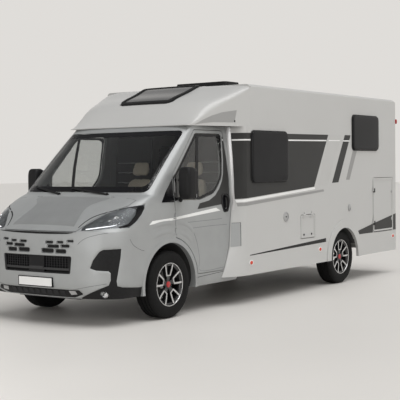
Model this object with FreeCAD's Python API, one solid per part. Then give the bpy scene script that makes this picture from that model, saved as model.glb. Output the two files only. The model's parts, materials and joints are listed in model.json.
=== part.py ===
"""A low-profile motorhome: a van cab with a bonnet, a moulded roof cap over the cab and a flat-sided coach body.

Millimetres. +X is forward, +Y is the vehicle's left, +Z is up. The origin is on the ground, at the middle of the
vehicle's length and width. Places along the length are named from the front axle.
"""
import FreeCAD, Part
import math
import os

Vec = FreeCAD.Vector
UP = Vec(0, 0, 1)
ACROSS = Vec(0, 1, 0)
ALONG = Vec(1, 0, 0)

# Driving dimensions
LENGTH = 6990.0
COACH_WIDTH = 2320.0
COACH_HEIGHT = 2750.0
WHEELBASE = 4035.0
FRONT_OVERHANG = 1120.0
FRONT_TRACK = 1810.0
REAR_TRACK = 1980.0
CAB_WIDTH = 2050.0
CAB_HEIGHT = 2215.0
CAB_LENGTH = 2520.0
CAB_WALL = 55.0
COACH_WALL = 34.0
TYRE_RADIUS = 387.0
TYRE_WIDTH = 235.0
RIM_RADIUS = 234.0

# Clearances and shared small sizes
PANEL_GAP = 7.0
RUN_GAP = 0.3
OVERRUN = 60.0
FAR = 4000.0
PIN_RADIUS = 5.0
BARREL_RADIUS = 9.0
BARREL_LENGTH = 46.0
LUG_LENGTH = 14.0
BARREL_NOTCH = 6.0
LEAST_CORNER = 1.0
OUTLINE_SPILL = 3.0

# Stations
FRONT_X = LENGTH / 2
REAR_X = -LENGTH / 2
AXLE_X = FRONT_X - FRONT_OVERHANG
REAR_AXLE_X = AXLE_X - WHEELBASE
CAB_REAR_X = FRONT_X - CAB_LENGTH
COACH_SIDE_Y = COACH_WIDTH / 2
CAB_SIDE_Y = CAB_WIDTH / 2
AXLE_Z = TYRE_RADIUS


def box(x0, x1, y0, y1, z0, z1):
    """A block between two corners."""
    return Part.makeBox(x1 - x0, y1 - y0, z1 - z0, Vec(x0, y0, z0))


def rod(start, end, radius):
    """A round bar between two points."""
    along = end - start
    return Part.makeCylinder(radius, along.Length, start, along)


def wheel_disc(x, y0, y1, radius):
    """A disc on a wheel's axis."""
    return rod(Vec(x, y0, AXLE_Z), Vec(x, y1, AXLE_Z), radius)


def rounded_wire(points, radii, place):
    """A closed outline with each corner rounded by its own radius. place turns (u, v) into a point in space."""
    count = len(points)
    if not isinstance(radii, (list, tuple)):
        radii = [radii] * count
    corners = []
    for i in range(count):
        before = Vec(*points[i - 1], 0)
        here = Vec(*points[i], 0)
        after = Vec(*points[(i + 1) % count], 0)
        to_before = (before - here).normalize()
        to_after = (after - here).normalize()
        turn = math.acos(max(-1.0, min(1.0, to_before.dot(to_after))))
        room = min((before - here).Length, (after - here).Length) / 2
        setback = 0.0
        if radii[i] > 0 and turn < math.pi - 0.01:
            setback = min(radii[i] / math.tan(turn / 2), room * 0.98)
        radius = setback * math.tan(turn / 2)
        middle = here
        if setback > 0:
            bisector = (to_before + to_after).normalize()
            middle = here + bisector * (math.hypot(setback, radius) - radius)
        corners.append((here + to_before * setback, middle, here + to_after * setback, setback > 0))
    edges = []
    for i in range(count):
        start, middle, end, is_round = corners[i]
        following = corners[(i + 1) % count][0]
        if is_round:
            edges.append(Part.Arc(place(start), place(middle), place(end)).toShape())
        if (following - end).Length > 0.001:
            edges.append(Part.LineSegment(place(end), place(following)).toShape())
    return Part.Wire(edges)


def prism_xz(points, radii, y0, y1):
    """An outline in side view, run across the vehicle from y0 to y1."""
    face = Part.Face(rounded_wire(points, radii, lambda p: Vec(p.x, y0, p.y)))
    return face.extrude(Vec(0, y1 - y0, 0))


def prism_yz(points, radii, x0, x1):
    """An outline in front view, run along the vehicle from x0 to x1."""
    face = Part.Face(rounded_wire(points, radii, lambda p: Vec(x0, p.x, p.y)))
    return face.extrude(Vec(x1 - x0, 0, 0))


def prism_xy(points, radii, z0, z1):
    """An outline in plan, run up from z0 to z1."""
    face = Part.Face(rounded_wire(points, radii, lambda p: Vec(p.x, p.y, z0)))
    return face.extrude(Vec(0, 0, z1 - z0))


def rectangle(u0, u1, v0, v1):
    """The four corners of an upright rectangle."""
    return [(u0, v0), (u1, v0), (u1, v1), (u0, v1)]


def from_axle(points):
    """Side-view points whose lengths count from the front axle."""
    return [(AXLE_X + x, z) for x, z in points]


def grown(points, amount):
    """An outline pushed outwards by the amount, or drawn in if it is negative."""
    area = sum(a[0] * b[1] - b[0] * a[1] for a, b in zip(points, points[1:] + points[:1]))
    side = 1.0 if area > 0 else -1.0
    result = []
    for i, here in enumerate(points):
        before = Vec(*points[i - 1], 0)
        middle = Vec(*here, 0)
        after = Vec(*points[(i + 1) % len(points)], 0)
        first = (middle - before).normalize()
        second = (after - middle).normalize()
        out_first = Vec(first.y, -first.x, 0) * side
        out_second = Vec(second.y, -second.x, 0) * side
        shared = out_first + out_second
        moved = middle + shared * (amount / (1.0 + out_first.dot(out_second)))
        result.append((moved.x, moved.y))
    return result


def mirrored(shape):
    """The same shape on the other side of the vehicle."""
    return shape.mirror(Vec(0, 0, 0), ACROSS)


def solids_of(shapes):
    """Every solid in a list of shapes."""
    found = []
    for shape in shapes:
        found.extend(shape.Solids)
    return found


def group(shapes):
    """Separate solids kept together as one node."""
    return Part.makeCompound(solids_of(shapes))


def both(shapes):
    """Shapes of the left-hand side with their right-hand twins."""
    return shapes + [mirrored(s) for s in shapes]


def fuse(shapes):
    """One shape from several that touch or overlap."""
    whole = shapes[0]
    if len(shapes) > 1:
        whole = whole.fuse(shapes[1:])
    return whole.removeSplitter()


# The cab: level outlines, as shares of the cab's own sizes. In each row: height, length ahead of the cab's rear,
# half width, where the side starts to turn in, and how square the turn is along the side and across the nose.
NOSE_SHARES = [
    (0.140, 0.968, 0.970, 0.800, 0.84, 0.70),
    (0.175, 0.992, 0.990, 0.806, 0.85, 0.72),
    (0.220, 1.000, 1.000, 0.806, 0.85, 0.72),
    (0.320, 1.000, 1.000, 0.806, 0.85, 0.72),
    (0.410, 0.996, 1.000, 0.806, 0.85, 0.72),
    (0.467, 0.985, 0.998, 0.794, 0.85, 0.74),
]
BONNET_SHARES = [
    (0.467, 0.985, 0.998, 0.794, 0.85, 0.74),
    (0.520, 0.925, 0.996, 0.754, 0.86, 0.80),
    (0.565, 0.863, 0.992, 0.706, 0.88, 0.86),
    (0.605, 0.794, 0.984, 0.663, 0.89, 0.89),
    (0.640, 0.710, 0.972, 0.612, 0.90, 0.90),
]
SCREEN_SHARES = [
    (0.640, 0.710, 0.972, 0.612, 0.90, 0.90),
    (0.820, 0.544, 0.946, 0.448, 0.90, 0.90),
    (1.000, 0.357, 0.905, 0.294, 0.90, 0.90),
]


def cab_wire(row, inset):
    """One level outline of the cab, drawn in by the inset."""
    height, nose, half, corner, square_side, square_nose = row
    z = height * CAB_HEIGHT
    nose_x = CAB_REAR_X + nose * CAB_LENGTH - inset
    corner_x = CAB_REAR_X + corner * CAB_LENGTH - inset
    side_y = half * CAB_SIDE_Y - inset
    back_x = CAB_REAR_X - (OVERRUN if inset else 0)
    turn_x = corner_x + square_side * (nose_x - corner_x)
    nose_y = square_nose * side_y
    left = Part.BezierCurve()
    left.setPoles([Vec(corner_x, side_y, z), Vec(turn_x, side_y, z), Vec(nose_x, nose_y, z), Vec(nose_x, 0, z)])
    right = Part.BezierCurve()
    right.setPoles([Vec(nose_x, 0, z), Vec(nose_x, -nose_y, z), Vec(turn_x, -side_y, z), Vec(corner_x, -side_y, z)])
    return Part.Wire([
        Part.LineSegment(Vec(back_x, side_y, z), Vec(corner_x, side_y, z)).toShape(),
        left.toShape(),
        right.toShape(),
        Part.LineSegment(Vec(corner_x, -side_y, z), Vec(back_x, -side_y, z)).toShape(),
        Part.LineSegment(Vec(back_x, -side_y, z), Vec(back_x, side_y, z)).toShape(),
    ])


def cab_block(inset):
    """The whole cab as a block, drawn in by the inset. An inset block runs past the outer one at its open ends."""
    parts = []
    for rows in (NOSE_SHARES, BONNET_SHARES, SCREEN_SHARES):
        parts.append(Part.makeLoft([cab_wire(row, inset) for row in rows], True, False))
    if inset:
        for row, way in ((NOSE_SHARES[0], -1), (SCREEN_SHARES[-1], 1)):
            parts.append(Part.Face(cab_wire(row, inset)).extrude(Vec(0, 0, way * OVERRUN)))
    return fuse(parts)


# Cab seams and openings, from the front axle
SEAM_Z = 1032.0
ARCH_RADIUS = 478.0
ARCH_INNER_Y = 545.0
LINER_WALL = 8.0
DOOR_SEAM = -115.0
DOOR_REAR = -1270.0
DOOR_BOTTOM_Z = 462.0
DOOR_TOP_Z = 2160.0
DOOR_KNEE_Z = 1641.0
DOOR_TOP_FRONT = -609.0
DOOR_TOP_REAR = -1200.0
DOOR_WAIST_Z = 1560.0
DOOR_CORNER = 45.0
DOOR_CUT_Y = 700.0
DOOR_POINTS = [
    (-1078.0, DOOR_BOTTOM_Z), (DOOR_SEAM, DOOR_BOTTOM_Z), (DOOR_SEAM, DOOR_KNEE_Z), (DOOR_TOP_FRONT, DOOR_TOP_Z),
    (DOOR_TOP_REAR, DOOR_TOP_Z), (DOOR_REAR, DOOR_WAIST_Z), (-1262.0, 1270.0), (-1224.0, 1018.0), (-1190.0, 730.0),
]
WINDOW_BAR = 32.0
WINDOW_POINTS = [
    (DOOR_SEAM - WINDOW_BAR, 1340.0), (DOOR_SEAM - WINDOW_BAR, 1628.0), (-622.0, 2126.0), (-1168.0, 2126.0),
    (-1122.0, 1590.0), (-940.0, 1402.0), (-620.0, 1332.0),
]
WINDOW_CORNERS = [24.0, 30.0, 60.0, 50.0, 240.0, 240.0, 240.0]
QUARTER_POINTS = [
    (DOOR_SEAM + WINDOW_BAR, 1342.0), (98.0, 1342.0), (8.0, 1446.0), (DOOR_SEAM + WINDOW_BAR, 1552.0),
]
QUARTER_CORNER = 14.0
SCREEN_HALF_LOW = 934.0
SCREEN_HALF_HIGH = 886.0
SCREEN_LOW_Z = 1440.0
SCREEN_HIGH_Z = 2155.0
SCREEN_CORNER = 60.0
GLASS_SET = 4.0
GLASS_THICK = 6.0
BONNET_REAR = 470.0
BONNET_POINTS = [(540.0, 1040.0), (640.0, 1150.0), (740.0, 1236.0), (900.0, 1304.0), (925.0, 1500.0)]
LAMP_POINTS = [(552.0, 1046.0), (650.0, 1140.0), (744.0, 1220.0), (905.0, 1288.0), (1060.0, 1330.0), (1060.0, 1076.0),
               (900.0, 1072.0), (720.0, 1052.0)]
LAMP_REAR_POINTS = [(425.0, 1345.0), (430.0, 1298.0), (467.0, 1249.0), (576.0, 1149.0), (698.0, 1082.0),
                    (725.0, 1040.0), (1300.0, 1040.0), (1300.0, 1345.0)]
LAMP_CORNER = 24.0
LAMP_DEPTH = 52.0
BUMPER_POINTS = [(430.0, 250.0), (1300.0, 250.0), (1300.0, SEAM_Z), (800.0, SEAM_Z), (712.0, 950.0),
                 (660.0, 884.0), (474.0, 808.0), (430.0, 790.0)]


def side_prism(points, radii):
    """A cutter for the left side of the cab, from side-view points measured from the front axle."""
    return prism_xz(from_axle(points), radii, DOOR_CUT_Y, DOOR_CUT_Y + CAB_WIDTH)


def screen_prism():
    """A cutter for the windscreen, in front view."""
    points = [(-SCREEN_HALF_LOW, SCREEN_LOW_Z), (SCREEN_HALF_LOW, SCREEN_LOW_Z), (SCREEN_HALF_HIGH, SCREEN_HIGH_Z),
              (-SCREEN_HALF_HIGH, SCREEN_HIGH_Z)]
    return prism_yz(points, SCREEN_CORNER, AXLE_X + DOOR_REAR, FRONT_X)


def bonnet_prism(gap):
    """A cutter for the bonnet: its outline in front view, from the cowl forward, grown by the gap."""
    left = [(y, z) for y, z in BONNET_POINTS]
    points = [(-y, z) for y, z in reversed(left)] + left
    return prism_yz(grown(points, gap), 0, AXLE_X + BONNET_REAR - gap, FRONT_X + OVERRUN)


def lamp_prism(gap):
    """A cutter for the left headlamp."""
    front = prism_yz(grown(LAMP_POINTS, gap), LAMP_CORNER, AXLE_X, FRONT_X + OVERRUN)
    return front.common(prism_xz(grown(from_axle(LAMP_REAR_POINTS), gap), 0, 0, CAB_WIDTH))


def barrel_space(foot, end, margin):
    """The room a hinge takes up in the seam it stands in."""
    along = (end - foot).normalize() * margin
    return rod(foot - along, end + along, BARREL_RADIUS + margin)


def hinge_pair(axis_x, axis_y, heights, way, reach):
    """Upright hinges at each height. way points from the axis towards the moving panel."""
    frames = []
    panels = []
    spaces = []
    for z in heights:
        foot = Vec(axis_x, axis_y, z)
        lug_end = foot + UP * LUG_LENGTH
        pin_end = lug_end + UP * BARREL_LENGTH
        barrel_foot = lug_end + UP * RUN_GAP
        lug = rod(foot, lug_end, BARREL_RADIUS).fuse([rod(foot, pin_end, PIN_RADIUS), leaf(foot, lug_end, way * -1, reach)])
        barrel = rod(barrel_foot, pin_end, BARREL_RADIUS).fuse(leaf(barrel_foot, pin_end, way, reach))
        frames.append(lug.removeSplitter())
        panels.append(barrel.cut(rod(foot, pin_end, PIN_RADIUS + RUN_GAP)).removeSplitter())
        spaces.append(barrel_space(foot, pin_end, BARREL_NOTCH))
    return frames, panels, spaces


def leaf(start, end, way, reach):
    """A flat plate from a hinge's axis along way, as tall as the stretch from start to end."""
    across = (end - start).normalize().cross(way).normalize() * (BARREL_RADIUS / 3)
    corners = [start - across, start + across, start + across + way * reach, start - across + way * reach]
    return Part.Face(Part.makePolygon(corners + [corners[0]])).extrude(end - start)


DOOR_HINGE_Y = CAB_SIDE_Y - 3.0
DOOR_HINGE_HEIGHTS = (955.0, 1130.0)
HINGE_REACH = 42.0
DOOR_LEAF_WAY = Vec(-1.0, -0.14, 0.0)
FENDER_BAND = 66.0
BONNET_HINGE_Y = (520.0, 580.0)
BONNET_HINGE_DROP = 2.0
FENDER_LIP = 42.0
LIP_PROUD = 7.0
FLOOR_LOW_Z = 432.0
FLOOR_HIGH_Z = 455.0
FIREWALL_BACK = 50.0
FIREWALL_THICK = 30.0
FIREWALL_TOP_Z = 1250.0
SHAFT_HOLE = 62.0
GRILLE_POINTS = [(-497.0, 580.0), (497.0, 580.0), (518.0, 774.0), (-518.0, 774.0)]
GRILLE_CORNER = 22.0
GRILLE_DEPTH = 16.0
SLAT_COUNT = 5
SLAT_SHARE = 0.5
CHIN_POINTS = [(-500.0, 321.0), (500.0, 321.0), (640.0, 366.0), (600.0, 410.0), (-600.0, 410.0), (-640.0, 366.0)]
CHIN_CORNER = 10.0
CORNER_TRIM_POINTS = [(580.0, 318.0), (600.0, 290.0), (1060.0, 290.0), (1060.0, 857.0), (873.0, 850.0), (836.0, 828.0),
                      (772.0, 735.0), (738.0, 650.0), (806.0, 628.0), (914.0, 619.0), (930.0, 598.0), (930.0, 520.0),
                      (912.0, 466.0)]
CORNER_TRIM_CORNER = 9.0
CORNER_REAR_POINTS = [(1300.0, 870.0), (829.0, 870.0), (840.0, 759.0), (885.0, 512.0), (876.0, 456.0), (815.0, 438.0),
                      (566.0, 415.0), (400.0, 415.0), (400.0, 280.0), (1300.0, 280.0)]
SLOTS = [(147.0, 252.0, 919.0, 20.0), (309.0, 395.0, 922.0, 18.0), (449.0, 530.0, 937.0, 15.0), (175.0, 339.0, 875.0, 28.0),
         (369.0, 482.0, 882.0, 24.0), (92.0, 268.0, 826.0, 40.0), (296.0, 441.0, 824.0, 38.0)]
SLOT_DEPTH = 24.0
TRIM_PROUD = 5.0
TRIM_DEPTH = 14.0
PLATE_WIDTH = 520.0
PLATE_HEIGHT = 110.0
PLATE_Z = 481.0
PLATE_THICK = 9.0
FOG_RADIUS = 37.0
FOG_Y = 861.0
FOG_Z = 366.0
WIPER_LINES = [((440.0, 1420.0), (-170.0, 1490.0)), ((-300.0, 1420.0), (-790.0, 1505.0))]
WIPER_HALF = 9.0
WIPER_STUD = 14.0


def strip_points(start, end, half):
    """A straight strip's four corners in front view."""
    along = Vec(end[0] - start[0], end[1] - start[1], 0).normalize()
    side = Vec(-along.y, along.x, 0) * half
    return [(start[0] + side.x, start[1] + side.y), (start[0] - side.x, start[1] - side.y),
            (end[0] - side.x, end[1] - side.y), (end[0] + side.x, end[1] + side.y)]


def surface_x(block, y, z):
    """Where the front of a block stands at a given place in front view."""
    line = Part.LineSegment(Vec(CAB_REAR_X, y, z), Vec(FRONT_X + OVERRUN, y, z)).toShape()
    return block.common(line).BoundBox.XMax


def surface_z(block, x, y):
    """How high a block stands at a given place in plan."""
    line = Part.LineSegment(Vec(x, y, 0), Vec(x, y, CAB_HEIGHT + OVERRUN)).toShape()
    return block.common(line).BoundBox.ZMax


def make_bonnet_hinges(outer):
    """Two hinges in the seam behind the bonnet. Returns the frames, the leaves, the room they need and the axis."""
    axis_x = AXLE_X + BONNET_REAR - PANEL_GAP / 2
    axis_z = surface_z(outer, axis_x, sum(BONNET_HINGE_Y) / 2) - BONNET_HINGE_DROP
    frames = []
    leaves = []
    spaces = []
    slope = Vec(1.0, 0, -0.62).normalize()
    for side in (1, -1):
        foot = Vec(axis_x, side * BONNET_HINGE_Y[0], axis_z)
        way = ACROSS * side
        lug_end = foot + way * LUG_LENGTH
        pin_end = foot + way * (BONNET_HINGE_Y[1] - BONNET_HINGE_Y[0])
        barrel_foot = lug_end + way * RUN_GAP
        lug = fuse([rod(foot, lug_end, BARREL_RADIUS), rod(foot, pin_end, PIN_RADIUS), leaf(foot, lug_end, slope * -1, HINGE_REACH)])
        barrel = fuse([rod(barrel_foot, pin_end, BARREL_RADIUS), leaf(barrel_foot, pin_end, slope, HINGE_REACH)])
        frames.append(lug)
        leaves.append(barrel.cut(rod(foot, pin_end, PIN_RADIUS + RUN_GAP)))
        spaces.append(barrel_space(foot, pin_end, BARREL_NOTCH))
    print("BONNET_AXIS", axis_x, axis_z)
    return frames, leaves, spaces


def make_cab():
    """The cab's shell, doors, bonnet, glass, bumper and lamps, all cut from one moulded skin."""
    outer = cab_block(0)
    inner = cab_block(CAB_WALL)
    skin = outer.cut(inner)
    glass_block = cab_block(GLASS_SET)
    glass = glass_block.cut(cab_block(GLASS_SET + GLASS_THICK))

    arch = wheel_disc(AXLE_X, ARCH_INNER_Y, CAB_WIDTH, ARCH_RADIUS)
    fender = wheel_disc(AXLE_X, ARCH_INNER_Y, CAB_WIDTH, ARCH_RADIUS + FENDER_BAND - PANEL_GAP)
    door_curve = wheel_disc(AXLE_X, ARCH_INNER_Y, CAB_WIDTH, ARCH_RADIUS + FENDER_BAND)
    hinge_x = AXLE_X + DOOR_SEAM + PANEL_GAP / 2
    frames, leaves, spaces = hinge_pair(hinge_x, DOOR_HINGE_Y, DOOR_HINGE_HEIGHTS, DOOR_LEAF_WAY, HINGE_REACH)
    bonnet_frames, bonnet_leaves, bonnet_spaces = make_bonnet_hinges(outer)

    door_opening = side_prism(grown(DOOR_POINTS, PANEL_GAP), DOOR_CORNER).cut(fender)
    quarter = side_prism(QUARTER_POINTS, QUARTER_CORNER)
    lamp_region = lamp_prism(0)
    bumper_region = prism_xz(from_axle(BUMPER_POINTS), 0, -CAB_WIDTH, CAB_WIDTH)
    holes = both([door_opening, quarter, arch, lamp_region] + spaces) + bonnet_spaces
    shell = skin.cut(holes + [screen_prism(), bonnet_prism(PANEL_GAP), bumper_region])
    lip = wheel_disc(AXLE_X, CAB_SIDE_Y - CAB_WALL, CAB_SIDE_Y + LIP_PROUD, ARCH_RADIUS + FENDER_LIP).cut(arch)
    lip = lip.cut([outer, box(0, FRONT_X, 0, CAB_WIDTH, -CAB_HEIGHT, NOSE_SHARES[0][0] * CAB_HEIGHT)])
    shell = fuse([shell] + both(frames + [lip.cut(bumper_region)]) + bonnet_frames)

    door = skin.common(side_prism(DOOR_POINTS, DOOR_CORNER)).cut(door_curve)
    door_window = side_prism(WINDOW_POINTS, WINDOW_CORNERS)
    door = fuse([door.cut([door_window] + spaces)] + leaves)
    door_glass = glass.common(door_window)
    bonnet = fuse([skin.common(bonnet_prism(0)).cut(bonnet_spaces)] + bonnet_leaves)

    lamp = lamp_region.common(outer)
    lens = lamp.cut(glass_block)
    bowl = lamp.common(cab_block(GLASS_SET + GLASS_THICK)).common(lamp_prism(-GLASS_SET))
    housing = lamp.common(glass_block).cut([cab_block(LAMP_DEPTH), bowl.cut(cab_block(LAMP_DEPTH - GLASS_THICK))])

    nodes = {
        "cab_shell": shell, "door_left": door, "door_right": mirrored(door), "door_glass_left": door_glass,
        "door_glass_right": mirrored(door_glass), "bonnet": bonnet,
        "cab_glass": group([glass.common(screen_prism())] + both([glass.common(quarter)])), "headlamp_lenses": group(both([lens])),
        "headlamp_housings": group(both([housing])),
    }
    nodes.update(make_nose(outer, skin, bumper_region, lamp_region, arch, lip.common(bumper_region)))
    nodes["cab_floor"] = make_cab_floor(inner)
    nodes["wheel_arch_liners"] = make_liners(inner)
    nodes["dashboard"] = make_dashboard(cab_block(CAB_WALL + CLOTH_GAP))
    return nodes


def make_nose(outer, skin, region, lamp_region, arch, lip):
    """The bumper with its grille, black trims, plate and fog lamps, and the wipers on the windscreen."""
    mouth = prism_yz(GRILLE_POINTS, GRILLE_CORNER, AXLE_X, FRONT_X + OVERRUN)
    chin = prism_yz(CHIN_POINTS, CHIN_CORNER, AXLE_X, FRONT_X + OVERRUN)
    corner = prism_yz(CORNER_TRIM_POINTS, CORNER_TRIM_CORNER, AXLE_X, FRONT_X + OVERRUN)
    corner = corner.common(prism_xz(from_axle(CORNER_REAR_POINTS), 0, 0, CAB_WIDTH))
    slots = []
    for y0, y1, z, height in SLOTS:
        slots.append(prism_yz(rectangle(y0, y1, z - height / 2, z + height / 2), height / 3, AXLE_X, FRONT_X + OVERRUN))
    slots = fuse(both(slots)).cut(cab_block(SLOT_DEPTH))
    trim_back = cab_block(TRIM_DEPTH)
    fog = rod(Vec(AXLE_X, FOG_Y, FOG_Z), Vec(FRONT_X + OVERRUN, FOG_Y, FOG_Z), FOG_RADIUS)
    pockets = skin.cut(trim_back).common(fuse([chin] + both([corner])))
    bumper = skin.common(region).cut(both([lamp_region, arch, fog]) + [mouth, pockets, slots])
    bumper = fuse([bumper] + both([lip]))

    step = (GRILLE_POINTS[2][1] - GRILLE_POINTS[0][1]) / SLAT_COUNT
    slat_gaps = []
    for i in range(SLAT_COUNT):
        low = GRILLE_POINTS[0][1] + step * (i + (1 - SLAT_SHARE) / 2)
        slot = rectangle(-GRILLE_POINTS[1][0] + step / 2, GRILLE_POINTS[1][0] - step / 2, low, low + step * SLAT_SHARE)
        slat_gaps.append(prism_yz(slot, 0, AXLE_X, FRONT_X + OVERRUN))
    layer = cab_block(GRILLE_DEPTH)
    grille = layer.cut(cab_block(GRILLE_DEPTH + TRIM_DEPTH)).common(mouth).cut(slat_gaps)

    trims = outer.cut(trim_back).common(fuse([chin] + both([corner]))).cut(both([fog, arch, lamp_region]))
    trims = trims.common(region)
    plate_x = surface_x(outer, 0, PLATE_Z)
    half = PLATE_WIDTH / 2
    plate = box(plate_x - PLATE_THICK, plate_x + PLATE_THICK, -half, half, PLATE_Z - PLATE_HEIGHT / 2, PLATE_Z + PLATE_HEIGHT / 2)
    plate = plate.cut([outer, mouth])
    lamps = fog.common(cab_block(GLASS_SET)).cut(cab_block(TRIM_DEPTH + CAB_WALL))
    strips = []
    for start, end in WIPER_LINES:
        strips.append(prism_yz(strip_points(start, end, WIPER_HALF), 0, AXLE_X - CAB_LENGTH / 2, FRONT_X))
    above = cab_block(-WIPER_STUD).cut(cab_block(-GLASS_SET))
    wipers = [above.common(s) for s in strips]
    for start, end in WIPER_LINES:
        x = surface_x(outer, start[0], start[1])
        stud = rod(Vec(x, start[0], start[1]), Vec(x + WIPER_STUD * 2, start[0], start[1] + WIPER_STUD), WIPER_HALF)
        wipers.append(stud.cut(outer))
    return {
        "front_bumper": bumper, "grille": group([grille, trims]), "front_plate": plate,
        "fog_lamps": group(both([lamps])), "wipers": fuse(wipers),
    }


def liner_disc(inner_y, radius):
    """The space of the left front wheel arch, open towards the outside."""
    return wheel_disc(AXLE_X, inner_y, CAB_WIDTH, radius)


def make_liners(inner):
    """Linings of the front wheel arches, behind the fenders, with holes for the drive shafts."""
    shell = liner_disc(ARCH_INNER_Y - LINER_WALL, ARCH_RADIUS + LINER_WALL).cut(liner_disc(ARCH_INNER_Y, ARCH_RADIUS))
    shell = shell.cut(box(0, FRONT_X, 0, CAB_WIDTH, -CAB_HEIGHT, NOSE_SHARES[0][0] * CAB_HEIGHT))
    shell = shell.cut(wheel_disc(AXLE_X, 0, ARCH_INNER_Y + LINER_WALL, SHAFT_HOLE)).common(inner)
    return group(both([shell]))


def make_cab_floor(inner):
    """The cab's floor between the sills, and the wall between the cab and the engine."""
    wells = both([liner_disc(ARCH_INNER_Y - LINER_WALL, ARCH_RADIUS + LINER_WALL)])
    floor = box(CAB_REAR_X, AXLE_X + FIREWALL_BACK, -CAB_SIDE_Y, CAB_SIDE_Y, FLOOR_LOW_Z, FLOOR_HIGH_Z)
    wall = box(AXLE_X + FIREWALL_BACK, AXLE_X + FIREWALL_BACK + FIREWALL_THICK, -CAB_SIDE_Y, CAB_SIDE_Y, FLOOR_LOW_Z, FIREWALL_TOP_Z)
    return fuse([floor, wall]).common(inner).cut(wells)


CLOTH_GAP = 7.0
DASH_POINTS = [(FIREWALL_BACK, 930.0), (-330.0, 930.0), (-400.0, 1180.0), (-300.0, 1300.0), (60.0, 1345.0),
               (250.0, 1345.0), (250.0, FIREWALL_TOP_Z), (FIREWALL_BACK, FIREWALL_TOP_Z)]
DASH_RADIUS = 40.0


def make_dashboard(room):
    """The dashboard across the cab, on top of the wall behind the engine."""
    return prism_xz(from_axle(DASH_POINTS), [0, DASH_RADIUS, DASH_RADIUS, DASH_RADIUS, DASH_RADIUS, 0, 0, 0], -CAB_SIDE_Y, CAB_SIDE_Y).common(room)


# The roof cap: sections across it, from the front axle. In each row: place along the length, half width, shoulder
# height, height at the middle.
CAP_ROWS = [
    (-1500.0, 1160.0, 2690.0, COACH_HEIGHT),
    (-1280.0, 1118.0, 2575.0, 2688.0),
    (-1000.0, 1045.0, 2445.0, 2588.0),
    (-750.0, 985.0, 2315.0, 2440.0),
    (-575.0, 945.0, 2240.0, 2272.0),
    (-490.0, 925.0, 2219.0, 2226.0),
]
CAP_LOW_Z = CAB_HEIGHT
CAP_WALL = 30.0
CAP_INNER_ROWS = 4
CAP_SIDE_SHARE = 0.80
CAP_TOP_SHARE = 0.86


def cap_wire(row, inset):
    """One section across the roof cap."""
    along, half, shoulder, top = row
    x = AXLE_X + along
    half = half - inset
    shoulder = shoulder - inset
    top = top - inset
    low = CAP_LOW_Z - (OVERRUN if inset else 0)
    rise = shoulder + CAP_SIDE_SHARE * (top - shoulder)
    right = Part.BezierCurve()
    right.setPoles([Vec(x, half, shoulder), Vec(x, half, rise), Vec(x, half * CAP_TOP_SHARE, top), Vec(x, 0, top)])
    left = Part.BezierCurve()
    left.setPoles([Vec(x, 0, top), Vec(x, -half * CAP_TOP_SHARE, top), Vec(x, -half, rise), Vec(x, -half, shoulder)])
    return Part.Wire([
        Part.LineSegment(Vec(x, half, low), Vec(x, half, shoulder)).toShape(),
        right.toShape(),
        left.toShape(),
        Part.LineSegment(Vec(x, -half, shoulder), Vec(x, -half, low)).toShape(),
        Part.LineSegment(Vec(x, -half, low), Vec(x, half, low)).toShape(),
    ])


SKY_REAR = -1780.0
SKY_FRONT = -850.0
SKY_HALF = 430.0
SKY_FRAME = 42.0
SKY_RISE = 26.0
SKY_CORNER = 60.0


def make_cap():
    """The hollow moulding over the cab, and the long window that runs from its slope onto the roof.

    Returns the moulding, the window's frame, the window and the opening both leave in the moulding and the roof.
    """
    outer = Part.makeLoft([cap_wire(row, 0) for row in CAP_ROWS], True, False)
    roof = box(AXLE_X + SKY_REAR - SKY_HALF, AXLE_X + CAP_ROWS[0][0], -SKY_HALF * 2, SKY_HALF * 2, CAP_LOW_Z, COACH_HEIGHT)
    hollow = Part.makeLoft([cap_wire(row, CAP_WALL) for row in CAP_ROWS[:CAP_INNER_ROWS]], True, False)
    back = Part.Face(cap_wire(CAP_ROWS[0], CAP_WALL)).extrude(Vec(-OVERRUN, 0, 0))
    shell = outer.cut([hollow, back])
    sky = rectangle(AXLE_X + SKY_REAR, AXLE_X + SKY_FRONT, -SKY_HALF, SKY_HALF)
    opening = prism_xy(sky, SKY_CORNER, CAP_LOW_Z, COACH_HEIGHT + OVERRUN)
    frame_area = prism_xy(grown(sky, SKY_FRAME), SKY_CORNER + SKY_FRAME, CAP_LOW_Z, COACH_HEIGHT + OVERRUN)
    surface = fuse([outer, roof])
    lifted = surface.copy()
    lifted.translate(Vec(0, 0, SKY_RISE))
    frame = lifted.common(frame_area).cut([surface, opening])
    lower = lifted.copy()
    lower.translate(Vec(0, 0, -GLASS_THICK * 2))
    window = lifted.common(opening).cut(lower)
    return shell.cut(opening), frame, window, opening


# The coach body, from the front axle
SKIRT_LOW_Z = 365.0
COACH_LOW_Z = 620.0
COACH_FLOOR_THICK = 40.0
HOUSING_LOW_Z = 560.0
COACH_FRONT = -1420.0
REAR_CORNER = 70.0
REAR_TOP_CORNER = 190.0
ROOF_CORNER = 55.0
ROOF_SEAM_Z = 2640.0
REAR_SEAM = 110.0
SIDE_WINDOW = (-2380.0, -1535.0, 1538.0, 2145.0)
REAR_SIDE_WINDOW = (-5135.0, -4310.0, 1965.0, 2438.0)
BACK_WINDOW = (-450.0, 450.0, 1560.0, 2080.0)
COACH_WINDOW_CORNER = 70.0
PANE_SET = 3.0
PANE_THICK = 22.0
FRAME_WIDTH = 26.0
FRAME_PROUD = 7.0
GARAGE_DOOR = (-5705.0, -4985.0, 690.0, 1520.0)
GARAGE_HINGE_HEIGHTS = (830.0, 1320.0)
SERVICE_HATCH = (-3145.0, -2750.0, 735.0, 1050.0)
HATCH_HINGE_SHARES = (0.2, 0.72)
ENTRANCE_DOOR = (-3070.0, -2470.0, 645.0, 2400.0)
ENTRANCE_HINGE_HEIGHTS = (800.0, 1500.0, 2200.0)
ENTRANCE_WINDOW = (-2930.0, -2610.0, 1560.0, 2020.0)
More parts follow.
